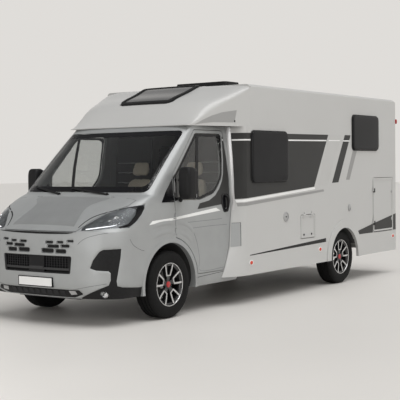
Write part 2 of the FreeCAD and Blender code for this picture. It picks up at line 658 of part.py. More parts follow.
HATCH_CORNER = 50.0
OUTSIDE_AXIS = 12.0
REAR_ARCH_RADIUS = 425.0
REAR_ARCH_INNER_Y = 840.0
REAR_TRIM_WIDTH = 120.0
REAR_TRIM_PROUD = 12.0
SKIRT_WALL = 26.0
REAR_BUMPER_FRONT = -5590.0
REAR_BUMPER_WALL = 60.0


# The flare from the cab's side out to the coach's: height, and how far forward its front edge reaches.
FLARE_ROWS = [(SKIRT_LOW_Z, -1040.0), (465.0, -1090.0), (COACH_LOW_Z, -1156.0), (730.0, -1202.0), (1018.0, -1236.0),
              (1270.0, -1274.0), (1417.0, -1284.0), (1560.0, -1290.0), (1816.0, -1290.0), (CAB_HEIGHT, -1290.0)]
FLARE_STAND = 12.0
FLARE_REAR_SHARE = 0.42
FLARE_FRONT_SHARE = 0.30
FLARE_TURN_SHARE = 0.45


def cab_half(z):
    """Half the cab's width behind its nose at a height."""
    rows = [(r[0] * CAB_HEIGHT, r[2] * CAB_SIDE_Y) for r in NOSE_SHARES + BONNET_SHARES[1:] + SCREEN_SHARES[1:]]
    for (low, low_half), (high, high_half) in zip(rows, rows[1:]):
        if z <= high:
            return low_half + (high_half - low_half) * (z - low) / (high - low)
    return rows[-1][1]


def flare_wire(z, front, wall):
    """One level outline of the left flare, as thick as the wall."""
    knee_x = AXLE_X + COACH_FRONT
    front_x = AXLE_X + front
    front_y = cab_half(z) + FLARE_STAND
    run = front_x - knee_x
    turn_y = front_y + (COACH_SIDE_Y - front_y) * FLARE_TURN_SHARE
    poles = [Vec(knee_x, COACH_SIDE_Y, z), Vec(knee_x + run * FLARE_REAR_SHARE, COACH_SIDE_Y, z),
             Vec(front_x - run * FLARE_FRONT_SHARE, turn_y, z), Vec(front_x, front_y, z)]
    inward = ACROSS * wall
    outer = Part.BezierCurve()
    outer.setPoles(poles)
    inner = Part.BezierCurve()
    inner.setPoles([p - inward for p in reversed(poles)])
    front_edge = Part.LineSegment(poles[-1], poles[-1] - inward)
    knee_edge = Part.LineSegment(poles[0] - inward, poles[0])
    return Part.Wire([outer.toShape(), front_edge.toShape(), inner.toShape(), knee_edge.toShape()])


def make_flare(low, high, wall):
    """The left flare between two heights, outside the cab."""
    rows = [row for row in FLARE_ROWS if low <= row[0] <= high]
    return Part.makeLoft([flare_wire(z, front, wall) for z, front in rows], True, True).cut(cab_block(0))


def coach_block(inset, low, high):
    """The coach body as a block, drawn in by the inset, between two heights."""
    corner = max(REAR_CORNER - inset, LEAST_CORNER)
    front_x = AXLE_X + COACH_FRONT + (OVERRUN if inset else 0)
    outline = rectangle(REAR_X + inset, front_x, inset - COACH_SIDE_Y, COACH_SIDE_Y - inset)
    plan = prism_xy(outline, [corner, 0, 0, corner], low, high)
    top = COACH_HEIGHT - inset
    if high < ROOF_SEAM_Z - REAR_TOP_CORNER:
        return plan
    side = rectangle(REAR_X + inset - OUTLINE_SPILL, FRONT_X, low, top + OUTLINE_SPILL)
    half = COACH_SIDE_Y - inset + OUTLINE_SPILL
    front = rectangle(-half, half, low, top)
    roof_corner = ROOF_CORNER - inset if inset < ROOF_CORNER else 0
    plan = plan.common(prism_xz(side, [0, 0, 0, REAR_TOP_CORNER - inset], -COACH_WIDTH, COACH_WIDTH))
    return plan.common(prism_yz(front, [0, 0, roof_corner, roof_corner], REAR_X - OVERRUN, FRONT_X))


def wall_prism(area, gap, radius, inner_y, outer_y):
    """A cutter through the left wall, from a side-view rectangle measured from the front axle."""
    x0, x1, z0, z1 = area
    points = rectangle(AXLE_X + x0 - gap, AXLE_X + x1 + gap, z0 - gap, z1 + gap)
    return prism_xz(points, radius, inner_y, outer_y)


def wall_cut(area, gap=0.0, radius=COACH_WINDOW_CORNER):
    """A cutter right through the left wall."""
    return wall_prism(area, gap, radius, COACH_SIDE_Y - COACH_WALL * 2, COACH_SIDE_Y + COACH_WALL)


def outside_hinges(axis_x, y, heights, way):
    """Upright hinges just outside a wall: the fixed half against the wall, the other half on the door."""
    fixed = []
    moving = []
    for z in heights:
        foot = Vec(axis_x, y, z)
        lug_end = foot + UP * LUG_LENGTH
        pin_end = lug_end + UP * BARREL_LENGTH
        barrel_foot = lug_end + UP * RUN_GAP
        for low, high, side, halves, solid in ((foot, lug_end, way * -1, fixed, True), (barrel_foot, pin_end, way, moving, False)):
            plate = flat_leaf(low, high, side, HINGE_REACH, y)
            piece = fuse([rod(low, high, BARREL_RADIUS), plate])
            if solid:
                piece = fuse([piece, rod(low, pin_end, PIN_RADIUS)])
            else:
                piece = piece.cut(rod(foot, pin_end, PIN_RADIUS + RUN_GAP))
            halves.append(piece)
    return fixed, moving


def flat_leaf(low, high, way, reach, y):
    """A hinge leaf that lies on the wall's outside and joins the barrel."""
    inward = -1 if y > 0 else 1
    skin_y = y + inward * OUTSIDE_AXIS
    ends = sorted((low.x, low.x + way.x * reach))
    sides = sorted((skin_y, skin_y - inward * BARREL_RADIUS))
    return box(ends[0], ends[1], sides[0], sides[1], low.z, high.z)


def make_coach():
    """The coach body's panels: two side walls, rear wall, roof and floor, with their doors and windows."""
    outer = coach_block(0, COACH_LOW_Z, COACH_HEIGHT)
    room = coach_block(COACH_WALL, COACH_LOW_Z - OVERRUN, COACH_HEIGHT)
    shell = outer.cut([room, box(AXLE_X + CAP_ROWS[0][0], FRONT_X, -COACH_WIDTH, COACH_WIDTH, CAP_LOW_Z, COACH_HEIGHT + OVERRUN)])
    shell = shell.cut(cab_block(0))
    rear_cut = box(REAR_X - OVERRUN, REAR_X + REAR_SEAM, -COACH_WIDTH, COACH_WIDTH, 0, ROOF_SEAM_Z)
    roof_cut = box(REAR_X - OVERRUN, FRONT_X, -COACH_WIDTH, COACH_WIDTH, ROOF_SEAM_Z, COACH_HEIGHT + OVERRUN)
    left_cut = box(REAR_X + REAR_SEAM, FRONT_X, 0, COACH_WIDTH, 0, ROOF_SEAM_Z)
    flare = make_flare(COACH_LOW_Z, CAB_HEIGHT, COACH_WALL)
    left = fuse([shell.common(left_cut), flare])
    arch = wheel_disc(REAR_AXLE_X, REAR_ARCH_INNER_Y, COACH_WIDTH, REAR_ARCH_RADIUS)
    garage_fixed, garage_moving = outside_hinges(
        AXLE_X + GARAGE_DOOR[1] + PANEL_GAP / 2, COACH_SIDE_Y + OUTSIDE_AXIS, GARAGE_HINGE_HEIGHTS, Vec(-1, 0, 0))
    entry_fixed, entry_moving = outside_hinges(
        AXLE_X + ENTRANCE_DOOR[1] + PANEL_GAP / 2, COACH_SIDE_Y + OUTSIDE_AXIS, ENTRANCE_HINGE_HEIGHTS, Vec(-1, 0, 0))
    windows = [wall_cut(SIDE_WINDOW), wall_cut(REAR_SIDE_WINDOW)]
    common_cuts = windows + [wall_cut(GARAGE_DOOR, PANEL_GAP, HATCH_CORNER), arch]
    base = left.cut(common_cuts)
    hatch_fixed, hatch_moving = hatch_hinges()
    wall_left = fuse([base.cut(wall_cut(SERVICE_HATCH, PANEL_GAP, HATCH_CORNER / 2))] + garage_fixed + hatch_fixed)
    wall_right = fuse([base.cut(wall_cut(ENTRANCE_DOOR, PANEL_GAP, HATCH_CORNER))] + garage_fixed + entry_fixed)

    back_window = prism_yz(rectangle(*BACK_WINDOW), COACH_WINDOW_CORNER, REAR_X - OVERRUN, REAR_X + OVERRUN)
    rear = shell.common(rear_cut).cut(back_window)
    roof_holes = []
    for hatch in ROOF_HATCHES:
        roof_holes.append(prism_xy(hatch_area(hatch), ROOF_HATCH_CORNER, ROOF_SEAM_Z, COACH_HEIGHT + OVERRUN))
    roof = shell.common(roof_cut).cut(roof_holes)
    panel_depth = (COACH_SIDE_Y - COACH_WALL, COACH_SIDE_Y)
    garage_door = fuse([wall_prism(GARAGE_DOOR, 0, HATCH_CORNER, *panel_depth)] + garage_moving)
    service = fuse([wall_prism(SERVICE_HATCH, 0, HATCH_CORNER / 2, *panel_depth)] + hatch_moving)
    entrance = wall_prism(ENTRANCE_DOOR, 0, HATCH_CORNER, *panel_depth).cut(wall_cut(ENTRANCE_WINDOW))
    entrance = fuse([entrance] + entry_moving)
    pane = (COACH_SIDE_Y - PANE_SET - PANE_THICK, COACH_SIDE_Y - PANE_SET)
    panes = [wall_prism(a, 0, COACH_WINDOW_CORNER, *pane) for a in (SIDE_WINDOW, REAR_SIDE_WINDOW)]
    ring = (COACH_SIDE_Y, COACH_SIDE_Y + FRAME_PROUD)
    frames = []
    for area in (SIDE_WINDOW, REAR_SIDE_WINDOW):
        frames.append(wall_prism(area, FRAME_WIDTH, COACH_WINDOW_CORNER + FRAME_WIDTH, *ring).cut(wall_cut(area)))
    back_pane = back_window.common(box(REAR_X + PANE_SET, REAR_X + PANE_SET + PANE_THICK, -COACH_WIDTH, COACH_WIDTH, 0, FAR))
    grown_back = grown(rectangle(*BACK_WINDOW), FRAME_WIDTH)
    back_frame = prism_yz(grown_back, COACH_WINDOW_CORNER + FRAME_WIDTH, REAR_X - FRAME_PROUD, REAR_X).cut(back_window)
    floor = room.common(box(REAR_X, CAB_REAR_X, -COACH_WIDTH, COACH_WIDTH, COACH_LOW_Z, COACH_LOW_Z + COACH_FLOOR_THICK))
    wells = wheel_disc(REAR_AXLE_X, REAR_ARCH_INNER_Y - LINER_WALL, COACH_SIDE_Y - COACH_WALL, REAR_ARCH_RADIUS + LINER_WALL)
    riser = room.common(box(CAB_REAR_X - COACH_FLOOR_THICK, CAB_REAR_X, -COACH_WIDTH, COACH_WIDTH, COACH_LOW_Z - OVERRUN, COACH_LOW_Z))
    riser = fuse([riser, box(CAB_REAR_X - COACH_FLOOR_THICK, CAB_REAR_X, -CAB_BEARER_HALF_Y, CAB_BEARER_HALF_Y, FLOOR_LOW_Z, COACH_LOW_Z)])
    flares = both([flare, make_flare(SKIRT_LOW_Z, COACH_LOW_Z, SKIRT_WALL)])
    floor = fuse([floor.cut(both([wells])), riser]).cut(flares)
    housing = wells.cut([arch, box(REAR_X, FRONT_X, 0, COACH_WIDTH, -COACH_HEIGHT, HOUSING_LOW_Z)])
    return {
        "coach_wall_left": wall_left, "coach_wall_right": mirrored(wall_right), "coach_rear_wall": rear, "coach_roof": roof,
        "coach_floor": floor, "rear_housings": group(both([housing])),
        "garage_door_left": garage_door, "garage_door_right": mirrored(garage_door), "service_hatch": service,
        "entrance_door": mirrored(entrance),
        "entrance_window": mirrored(wall_prism(ENTRANCE_WINDOW, 0, COACH_WINDOW_CORNER, *pane)),
        "coach_windows": group(both(panes) + [back_pane]), "window_frames": group(both(frames) + [back_frame]),
    }


def hatch_hinges():
    """Two level hinges just outside the wall above the service hatch."""
    y = COACH_SIDE_Y + OUTSIDE_AXIS
    z = SERVICE_HATCH[3] + PANEL_GAP / 2
    fixed = []
    moving = []
    for share in HATCH_HINGE_SHARES:
        x = AXLE_X + SERVICE_HATCH[0] + share * (SERVICE_HATCH[1] - SERVICE_HATCH[0])
        foot = Vec(x, y, z)
        lug_end = foot + ALONG * LUG_LENGTH
        pin_end = lug_end + ALONG * BARREL_LENGTH
        barrel_foot = lug_end + ALONG * RUN_GAP
        lug = fuse([rod(foot, lug_end, BARREL_RADIUS), rod(foot, pin_end, PIN_RADIUS),
                    box(foot.x, lug_end.x, COACH_SIDE_Y, y - BARREL_RADIUS / 3, z, z + HINGE_REACH)])
        barrel = fuse([rod(barrel_foot, pin_end, BARREL_RADIUS),
                       box(barrel_foot.x, pin_end.x, COACH_SIDE_Y, y - BARREL_RADIUS / 3, z - HINGE_REACH, z)])
        fixed.append(lug)
        moving.append(barrel.cut(rod(foot, pin_end, PIN_RADIUS + RUN_GAP)))
    return fixed, moving


ROOF_HATCHES = [(-2250.0, 165.0, 400.0), (-4720.0, 200.0, 200.0)]
ROOF_HATCH_CORNER = 40.0
ROOF_FRAME_WIDTH = 60.0
ROOF_FRAME_RISE = 40.0
ROOF_DOME_RISE = 80.0
ROOF_DOME_DRAW = 35.0
ROOF_DOME_WALL = 10.0


def hatch_area(hatch):
    """The opening of one roof hatch in plan."""
    x, half_length, half_width = hatch
    return rectangle(AXLE_X + x - half_length, AXLE_X + x + half_length, -half_width, half_width)


def dome_block(area, low_growth, high_growth, high):
    """A low dome over a roof hatch, from its frame's top up to the height."""
    low_wire = rounded_wire(grown(area, low_growth), ROOF_HATCH_CORNER, lambda p: Vec(p.x, p.y, COACH_HEIGHT + ROOF_FRAME_RISE))
    high_wire = rounded_wire(grown(area, high_growth), ROOF_HATCH_CORNER, lambda p: Vec(p.x, p.y, high))
    return Part.makeLoft([low_wire, high_wire], True, True)


def make_roof(roof_panel):
    """The cap, the roof panel with its openings, and the frames and windows on both."""
    cap, sky_frame, sky_window, opening = make_cap()
    frames = []
    domes = []
    for hatch in ROOF_HATCHES:
        area = hatch_area(hatch)
        base = prism_xy(grown(area, ROOF_FRAME_WIDTH), ROOF_HATCH_CORNER, COACH_HEIGHT, COACH_HEIGHT + ROOF_FRAME_RISE)
        frames.append(base.cut(prism_xy(area, ROOF_HATCH_CORNER, COACH_HEIGHT - OVERRUN, COACH_HEIGHT + ROOF_DOME_RISE)))
        top = COACH_HEIGHT + ROOF_DOME_RISE
        low_growth = ROOF_FRAME_WIDTH - ROOF_DOME_WALL
        dome = dome_block(area, low_growth, -ROOF_DOME_DRAW, top)
        hollow = dome_block(area, low_growth - ROOF_DOME_WALL, -ROOF_DOME_DRAW - ROOF_DOME_WALL, top - ROOF_DOME_WALL)
        domes.append(dome.cut(hollow))
    return {"overcab_cap": cap, "coach_roof": roof_panel.cut(opening), "roof_window_frames": group([sky_frame] + frames),
            "roof_windows": group([sky_window] + domes)}


MARKERS = [(-1498.0, 516.0), (-3294.0, 552.0), (-5700.0, 590.0)]
MARKER_LENGTH = 60.0
MARKER_HEIGHT = 26.0
REAR_LAMP = (930.0, 1060.0, 760.0, 1180.0)
REAR_LAMP_THICK = PLATE_THICK
REAR_PLATE_Z = 900.0


def make_lower_body():
    """Skirts, rear bumper, wheel-arch mouldings, marker lamps, rear lamps and rear plate."""
    ring = coach_block(0, SKIRT_LOW_Z, COACH_LOW_Z).cut(coach_block(SKIRT_WALL, SKIRT_LOW_Z - OVERRUN, COACH_LOW_Z + OVERRUN))
    sides = box(AXLE_X + REAR_BUMPER_FRONT, FRONT_X, 0, COACH_WIDTH, 0, COACH_LOW_Z)
    arch = wheel_disc(REAR_AXLE_X, REAR_ARCH_INNER_Y, COACH_WIDTH, REAR_ARCH_RADIUS)
    skirt = fuse([ring.common(sides).cut([arch, cab_block(0)]), make_flare(SKIRT_LOW_Z, COACH_LOW_Z, SKIRT_WALL)])
    thick = coach_block(0, SKIRT_LOW_Z, COACH_LOW_Z).cut(coach_block(REAR_BUMPER_WALL, SKIRT_LOW_Z - OVERRUN, COACH_LOW_Z + OVERRUN))
    bumper = thick.common(box(REAR_X - OVERRUN, AXLE_X + REAR_BUMPER_FRONT, -COACH_WIDTH, COACH_WIDTH, 0, COACH_LOW_Z))
    trim = wheel_disc(REAR_AXLE_X, COACH_SIDE_Y, COACH_SIDE_Y + REAR_TRIM_PROUD, REAR_ARCH_RADIUS + REAR_TRIM_WIDTH).cut(arch)
    trim = trim.cut(box(REAR_X, FRONT_X, 0, COACH_WIDTH, -COACH_HEIGHT, SKIRT_LOW_Z))
    markers = []
    for x, z in MARKERS:
        area = rectangle(AXLE_X + x - MARKER_LENGTH / 2, AXLE_X + x + MARKER_LENGTH / 2, z - MARKER_HEIGHT / 2, z + MARKER_HEIGHT / 2)
        markers.append(prism_xz(area, MARKER_HEIGHT / 2, COACH_SIDE_Y, COACH_SIDE_Y + FRAME_PROUD))
    y0, y1, z0, z1 = REAR_LAMP
    lamp = prism_yz(rectangle(y0, y1, z0, z1), MARKER_LENGTH, REAR_X - REAR_LAMP_THICK, REAR_X)
    half = PLATE_WIDTH / 2
    plate = box(REAR_X - PLATE_THICK, REAR_X, -half, half, REAR_PLATE_Z, REAR_PLATE_Z + PLATE_HEIGHT)
    return {
        "side_skirts": group(both([skirt])), "rear_bumper": bumper, "wheel_arch_trims": group(both([trim])),
        "side_markers": group(both(markers)), "rear_lamps": group(both([lamp])), "rear_plate": plate,
    }


# The chassis, from the front axle
RAIL_POINTS = [(-5700.0, 470.0), (-1760.0, 470.0), (-1500.0, 280.0), (850.0, 280.0), (850.0, 362.0), (-1450.0, 362.0),
               (-1700.0, 570.0), (-5700.0, 570.0)]
RAIL_INNER_Y = 400.0
RAIL_OUTER_Y = 462.0
CROSS_STATIONS = (-5600.0, -4760.0, -3060.0, -2200.0)
FRONT_CROSS_STATIONS = (780.0, -1330.0)
CROSS_WIDTH = 60.0
BEARER_STATIONS = (-5450.0, -4620.0, -3300.0, -2600.0, -1900.0)
CAB_BEARER_STATIONS = (-1260.0, -900.0, -560.0)
BEARER_HALF_Y = 1100.0
CAB_BEARER_HALF_Y = 900.0
BUMPER_BAR_X = 850.0


def make_chassis():
    """Two rails, stepped down under the cab, with cross members and bearers under the coach floor."""
    rails = both([prism_xz(from_axle(RAIL_POINTS), 0, RAIL_INNER_Y, RAIL_OUTER_Y)])
    parts = list(rails)
    for x in CROSS_STATIONS:
        parts.append(box(AXLE_X + x, AXLE_X + x + CROSS_WIDTH, -RAIL_INNER_Y, RAIL_INNER_Y, RAIL_POINTS[0][1], RAIL_POINTS[-1][1]))
    for x in FRONT_CROSS_STATIONS:
        parts.append(box(AXLE_X + x, AXLE_X + x + CROSS_WIDTH, -RAIL_INNER_Y, RAIL_INNER_Y, RAIL_POINTS[3][1], RAIL_POINTS[4][1]))
    for x in BEARER_STATIONS:
        parts.append(box(AXLE_X + x, AXLE_X + x + CROSS_WIDTH, -BEARER_HALF_Y, BEARER_HALF_Y, RAIL_POINTS[-1][1], COACH_LOW_Z))
    for x in CAB_BEARER_STATIONS:
        parts.append(box(AXLE_X + x, AXLE_X + x + CROSS_WIDTH, -CAB_BEARER_HALF_Y, CAB_BEARER_HALF_Y, RAIL_POINTS[4][1], FLOOR_LOW_Z))
    crash = box(AXLE_X + BUMPER_BAR_X, AXLE_X + BUMPER_BAR_X + CROSS_WIDTH, -RAIL_OUTER_Y, RAIL_OUTER_Y, RAIL_POINTS[3][1], RAIL_POINTS[4][1])
    return fuse(parts + [crash])


PIN_Y = 790.0
KING_RADIUS = 12.0
POST_RADIUS = 28.0
POST_LOW_Z = 290.0
POST_HIGH_Z = 490.0
ARM_LOW_Z = 240.0
ARM_HIGH_Z = 280.0
ARM_HALF = 30.0
STRUT_Y = 730.0
STRUT_RADIUS = 30.0
BRACKET_LOW_Z = 495.0
BRACKET_HIGH_Z = 515.0
KING_LOW_TOP_Z = 345.0
KING_HIGH_LOW_Z = 435.0
SPINDLE_RADIUS = 30.0
SHAFT_RADIUS = 17.0
SHAFT_END_Y = 700.0
BOOT_RADIUS = 42.0
BOOT_LENGTH = 70.0
SUBFRAME_HALF = 150.0
ENGINE_POINTS = [(260.0, 420.0), (780.0, 420.0), (780.0, 780.0), (700.0, 960.0), (330.0, 1010.0), (260.0, 930.0)]
ENGINE_HALF_Y = 360.0


def make_front_axle():
    """Subframe, lower arms with their king pins, struts and drive shafts. The knuckles turn on the king pins."""
    arm = box(AXLE_X - ARM_HALF, AXLE_X + ARM_HALF, RAIL_INNER_Y, PIN_Y, ARM_LOW_Z, ARM_HIGH_Z)
    tab = box(AXLE_X - ARM_HALF * 2, AXLE_X + ARM_HALF * 2, RAIL_INNER_Y, RAIL_OUTER_Y, ARM_LOW_Z, RAIL_POINTS[3][1])
    eye = rod(Vec(AXLE_X, PIN_Y, ARM_LOW_Z), Vec(AXLE_X, PIN_Y, ARM_HIGH_Z), ARM_HALF)
    low_pin = rod(Vec(AXLE_X, PIN_Y, ARM_HIGH_Z), Vec(AXLE_X, PIN_Y, KING_LOW_TOP_Z), KING_RADIUS)
    lower = fuse([arm, tab, eye, low_pin])
    strut = rod(Vec(AXLE_X, STRUT_Y, BRACKET_LOW_Z), Vec(AXLE_X, STRUT_Y, AXLE_Z + ARCH_RADIUS + OVERRUN), STRUT_RADIUS)
    strut = strut.common(wheel_disc(AXLE_X, 0, CAB_WIDTH, ARCH_RADIUS))
    bracket = box(AXLE_X - STRUT_RADIUS, AXLE_X + STRUT_RADIUS, STRUT_Y, PIN_Y + KING_RADIUS, BRACKET_LOW_Z, BRACKET_HIGH_Z)
    high_pin = rod(Vec(AXLE_X, PIN_Y, KING_HIGH_LOW_Z), Vec(AXLE_X, PIN_Y, BRACKET_HIGH_Z), KING_RADIUS)
    upper = fuse([strut, bracket, high_pin])
    shaft = rod(Vec(AXLE_X, 0, AXLE_Z), Vec(AXLE_X, SHAFT_END_Y, AXLE_Z), SHAFT_RADIUS)
    boot = rod(Vec(AXLE_X, SHAFT_END_Y - BOOT_LENGTH, AXLE_Z), Vec(AXLE_X, SHAFT_END_Y, AXLE_Z), BOOT_RADIUS)
    subframe = box(AXLE_X - SUBFRAME_HALF, AXLE_X + SUBFRAME_HALF, -RAIL_INNER_Y, RAIL_INNER_Y, RAIL_POINTS[3][1], AXLE_Z - BOOT_RADIUS)
    carrier = box(AXLE_X - BOOT_RADIUS, AXLE_X + BOOT_RADIUS, -BOOT_LENGTH, BOOT_LENGTH, AXLE_Z - BOOT_RADIUS, AXLE_Z + BOOT_RADIUS)
    shafts = both([shaft, boot])
    return group(both([lower, upper]) + [fuse([subframe, carrier] + shafts)])


def make_knuckle():
    """The left steering knuckle: a post bored for the king pins, with the spindle that carries the wheel."""
    post = rod(Vec(AXLE_X, PIN_Y, POST_LOW_Z), Vec(AXLE_X, PIN_Y, POST_HIGH_Z), POST_RADIUS)
    spindle = rod(Vec(AXLE_X, PIN_Y, AXLE_Z), Vec(AXLE_X, FRONT_TRACK / 2 + HUB_OUT, AXLE_Z), SPINDLE_RADIUS)
    low_bore = rod(Vec(AXLE_X, PIN_Y, 0), Vec(AXLE_X, PIN_Y, KING_LOW_TOP_Z + PANEL_GAP), KING_RADIUS + RUN_GAP)
    high_bore = rod(Vec(AXLE_X, PIN_Y, KING_HIGH_LOW_Z - PANEL_GAP), Vec(AXLE_X, PIN_Y, FAR), KING_RADIUS + RUN_GAP)
    return fuse([post, spindle]).cut([low_bore, high_bore])


HUB_OUT = 52.0
SPRING_Y = 430.0
SPRING_HALF_WIDTH = 30.0
SPRING_HALF_LENGTH = 700.0
BEAM_RADIUS = 34.0
SPRING_THICK = 20.0


def make_rear_axle():
    """A beam across the vehicle on two leaf springs that hang from the rails."""
    end_y = REAR_TRACK / 2 + HUB_OUT
    beam = rod(Vec(REAR_AXLE_X, -end_y, AXLE_Z), Vec(REAR_AXLE_X, end_y, AXLE_Z), SPINDLE_RADIUS)
    beam = beam.fuse(rod(Vec(REAR_AXLE_X, -REAR_TRACK / 2 + TYRE_WIDTH / 2, AXLE_Z), Vec(REAR_AXLE_X, REAR_TRACK / 2 - TYRE_WIDTH / 2, AXLE_Z), BEAM_RADIUS))
    low = AXLE_Z + BEAM_RADIUS
    high = RAIL_POINTS[0][1]
    end = SPRING_HALF_LENGTH
    eye = SPRING_HALF_LENGTH - SPRING_THICK * 4
    seat = SPRING_THICK * 4
    points = [(-end, high), (-end, high - SPRING_THICK), (-eye, high - SPRING_THICK), (-seat, low - SPRING_THICK / 2),
              (seat, low - SPRING_THICK / 2), (eye, high - SPRING_THICK), (end, high - SPRING_THICK), (end, high),
              (eye, high), (seat, low + SPRING_THICK / 2), (-seat, low + SPRING_THICK / 2), (-eye, high)]
    outline = [(REAR_AXLE_X + x, z) for x, z in points]
    spring = prism_xz(outline, 0, SPRING_Y - SPRING_HALF_WIDTH, SPRING_Y + SPRING_HALF_WIDTH)
    return fuse([beam] + both([spring]))


def make_engine():
    """The engine and gearbox as one plain block on two mounts."""
    block = prism_xz(from_axle(ENGINE_POINTS), 0, -ENGINE_HALF_Y, ENGINE_HALF_Y)
    mount = box(AXLE_X + ENGINE_POINTS[0][0] + CROSS_WIDTH, AXLE_X + ENGINE_POINTS[1][0] - CROSS_WIDTH, RAIL_INNER_Y - CROSS_WIDTH,
                RAIL_OUTER_Y, RAIL_POINTS[4][1], ENGINE_POINTS[0][1])
    return fuse([block] + both([mount]))


TANKS = [(-4400.0, -3600.0, 395.0, COACH_LOW_Z), (-2900.0, -2320.0, 395.0, RAIL_POINTS[-1][1])]


def make_tanks():
    """Water and fuel tanks under the floor."""
    tanks = []
    for x0, x1, half, top in TANKS:
        tanks.append(box(AXLE_X + x0, AXLE_X + x1, -half, half, RAIL_POINTS[0][1], top))
    return tanks


# Wheels
TYRE_SHARES = [(0.80, 0.00), (0.96, 0.16), (1.00, 0.45), (0.95, 0.78), (0.78, 0.955), (0.40, 1.00)]
RIM_BARREL = 205.0
DISH_INSET = 42.0
DISH_THICK = 16.0
HUB_RADIUS = 52.0
SPOKE_COUNT = 5
SPOKE_CORNER = 9.0
# Windows in the dish: turn from a spoke's middle as a share of the circle, and radius as a share of the barrel's.
FORK_SHARES = [(-0.031, 0.62), (0.031, 0.62), (0.034, 0.93), (-0.034, 0.93)]
BETWEEN_SHARES = [(0.062, 0.42), (0.138, 0.42), (0.145, 0.93), (0.055, 0.93)]
BEAD_LIP = 9.0
BRAKE_RADIUS = 140.0
BRAKE_THICK = 24.0


def revolve_y(points, x, y, side):
    """A closed outline of (distance along the axle, radius) turned round a wheel's axis. side is 1 for the left."""
    place = [Vec(x, y + side * a, AXLE_Z + b) for a, b in points]
    face = Part.Face(Part.makePolygon(place + [place[0]]))
    return face.revolve(Vec(x, y, AXLE_Z), ACROSS, 360)


def make_tyre(x, y, side):
    """One tyre, with a flat tread, rounded shoulders and bulged walls."""
    half = TYRE_WIDTH / 2
    rise = TYRE_RADIUS - RIM_RADIUS
    right = [(a * half, RIM_RADIUS + b * rise) for a, b in TYRE_SHARES]
    left = [(-a, b) for a, b in reversed(right)]
    outline = right + left
    place = [Vec(x, y + a, AXLE_Z + b) for a, b in outline]
    count = len(right)
    walls = Part.BSplineCurve()
    walls.interpolate(Points=place[:count], InitialTangent=place[1] - place[0], FinalTangent=-ACROSS)
    far_walls = Part.BSplineCurve()
    far_walls.interpolate(Points=place[count:], InitialTangent=-ACROSS, FinalTangent=place[-1] - place[-2])
    tread = Part.LineSegment(place[count - 1], place[count])
    bead = Part.LineSegment(place[-1], place[0])
    face = Part.Face(Part.Wire([walls.toShape(), tread.toShape(), far_walls.toShape(), bead.toShape()]))
    return face.revolve(Vec(x, y, AXLE_Z), ACROSS, 360)


def make_rim(x, y, side):
    """One wheel: barrel, pierced dish, bored hub and brake disc."""
    half = TYRE_WIDTH * 0.40
    outline = [(-half, RIM_BARREL), (-half, RIM_RADIUS), (half, RIM_RADIUS), (half + BEAD_LIP, RIM_RADIUS),
               (half + BEAD_LIP, RIM_BARREL + BEAD_LIP), (half - DISH_INSET, RIM_BARREL)]
    barrel = revolve_y(outline, x, y, side)
    dish_y = y + side * (half - DISH_INSET)
    dish = rod(Vec(x, dish_y, AXLE_Z), Vec(x, dish_y - side * DISH_THICK, AXLE_Z), RIM_BARREL + LEAST_CORNER)
    hub_start = y - side * HUB_OUT * 0.7
    hub = rod(Vec(x, hub_start, AXLE_Z), Vec(x, dish_y + side * DISH_THICK, AXLE_Z), HUB_RADIUS)
    disc = rod(Vec(x, hub_start, AXLE_Z), Vec(x, hub_start + side * BRAKE_THICK, AXLE_Z), BRAKE_RADIUS)
    holes = []
    for i in range(SPOKE_COUNT):
        for outline in (FORK_SHARES, BETWEEN_SHARES):
            points = []
            for turn, reach in outline:
                angle = 2 * math.pi * (turn + i / SPOKE_COUNT)
                points.append((RIM_BARREL * reach * math.sin(angle), RIM_BARREL * reach * math.cos(angle)))
            face = Part.Face(rounded_wire(points, SPOKE_CORNER, lambda p: Vec(x + p.x, dish_y + side * DISH_THICK, AXLE_Z + p.y)))
            holes.append(face.extrude(ACROSS * (side * DISH_THICK * -3)))
    bore = rod(Vec(x, hub_start - side * OVERRUN, AXLE_Z), Vec(x, y + side * HUB_OUT, AXLE_Z), SPINDLE_RADIUS + RUN_GAP)
    return fuse([barrel, dish, hub, disc]).cut(holes + [bore])


# Inside
SEAT_Y = 430.0
SEAT_HALF = 240.0
SEAT_BASE = (-1180.0, -760.0, FLOOR_HIGH_Z, 790.0)
SEAT_CUSHION = (-1200.0, -700.0, 790.0, 910.0)
SEAT_BACK_POINTS = [(-1210.0, 910.0), (-1100.0, 910.0), (-1230.0, 1500.0), (-1320.0, 1500.0)]
HEADREST_POINTS = [(-1320.0, 1530.0), (-1250.0, 1530.0), (-1275.0, 1700.0), (-1335.0, 1700.0)]
HEADREST_HALF = 130.0
SEAT_EDGE = 45.0
SEAT_CLEAR = 0.3
WHEEL_CENTRE = (-560.0, 430.0, 1190.0)
STEER_RADIUS = 200.0
STEER_GRIP = 15.0
STEER_TILT = Vec(0.82, 0.0, -0.57)
COLUMN_RADIUS = 22.0
BED_Z = 1560.0
BULKHEAD = -4900.0
BOARD = 25.0
KITCHEN = (-4100.0, -2450.0, 560.0, 1126.0, 1500.0)
WARDROBE = (-4100.0, -3200.0, -1126.0, -560.0, 2480.0)
BENCH = (-2300.0, -1650.0, 500.0, 1126.0, 1060.0)
LOCKER_MARGIN = 40.0
LOCKER_DEPTH = 330.0
CARCASS_GAP = 2.0


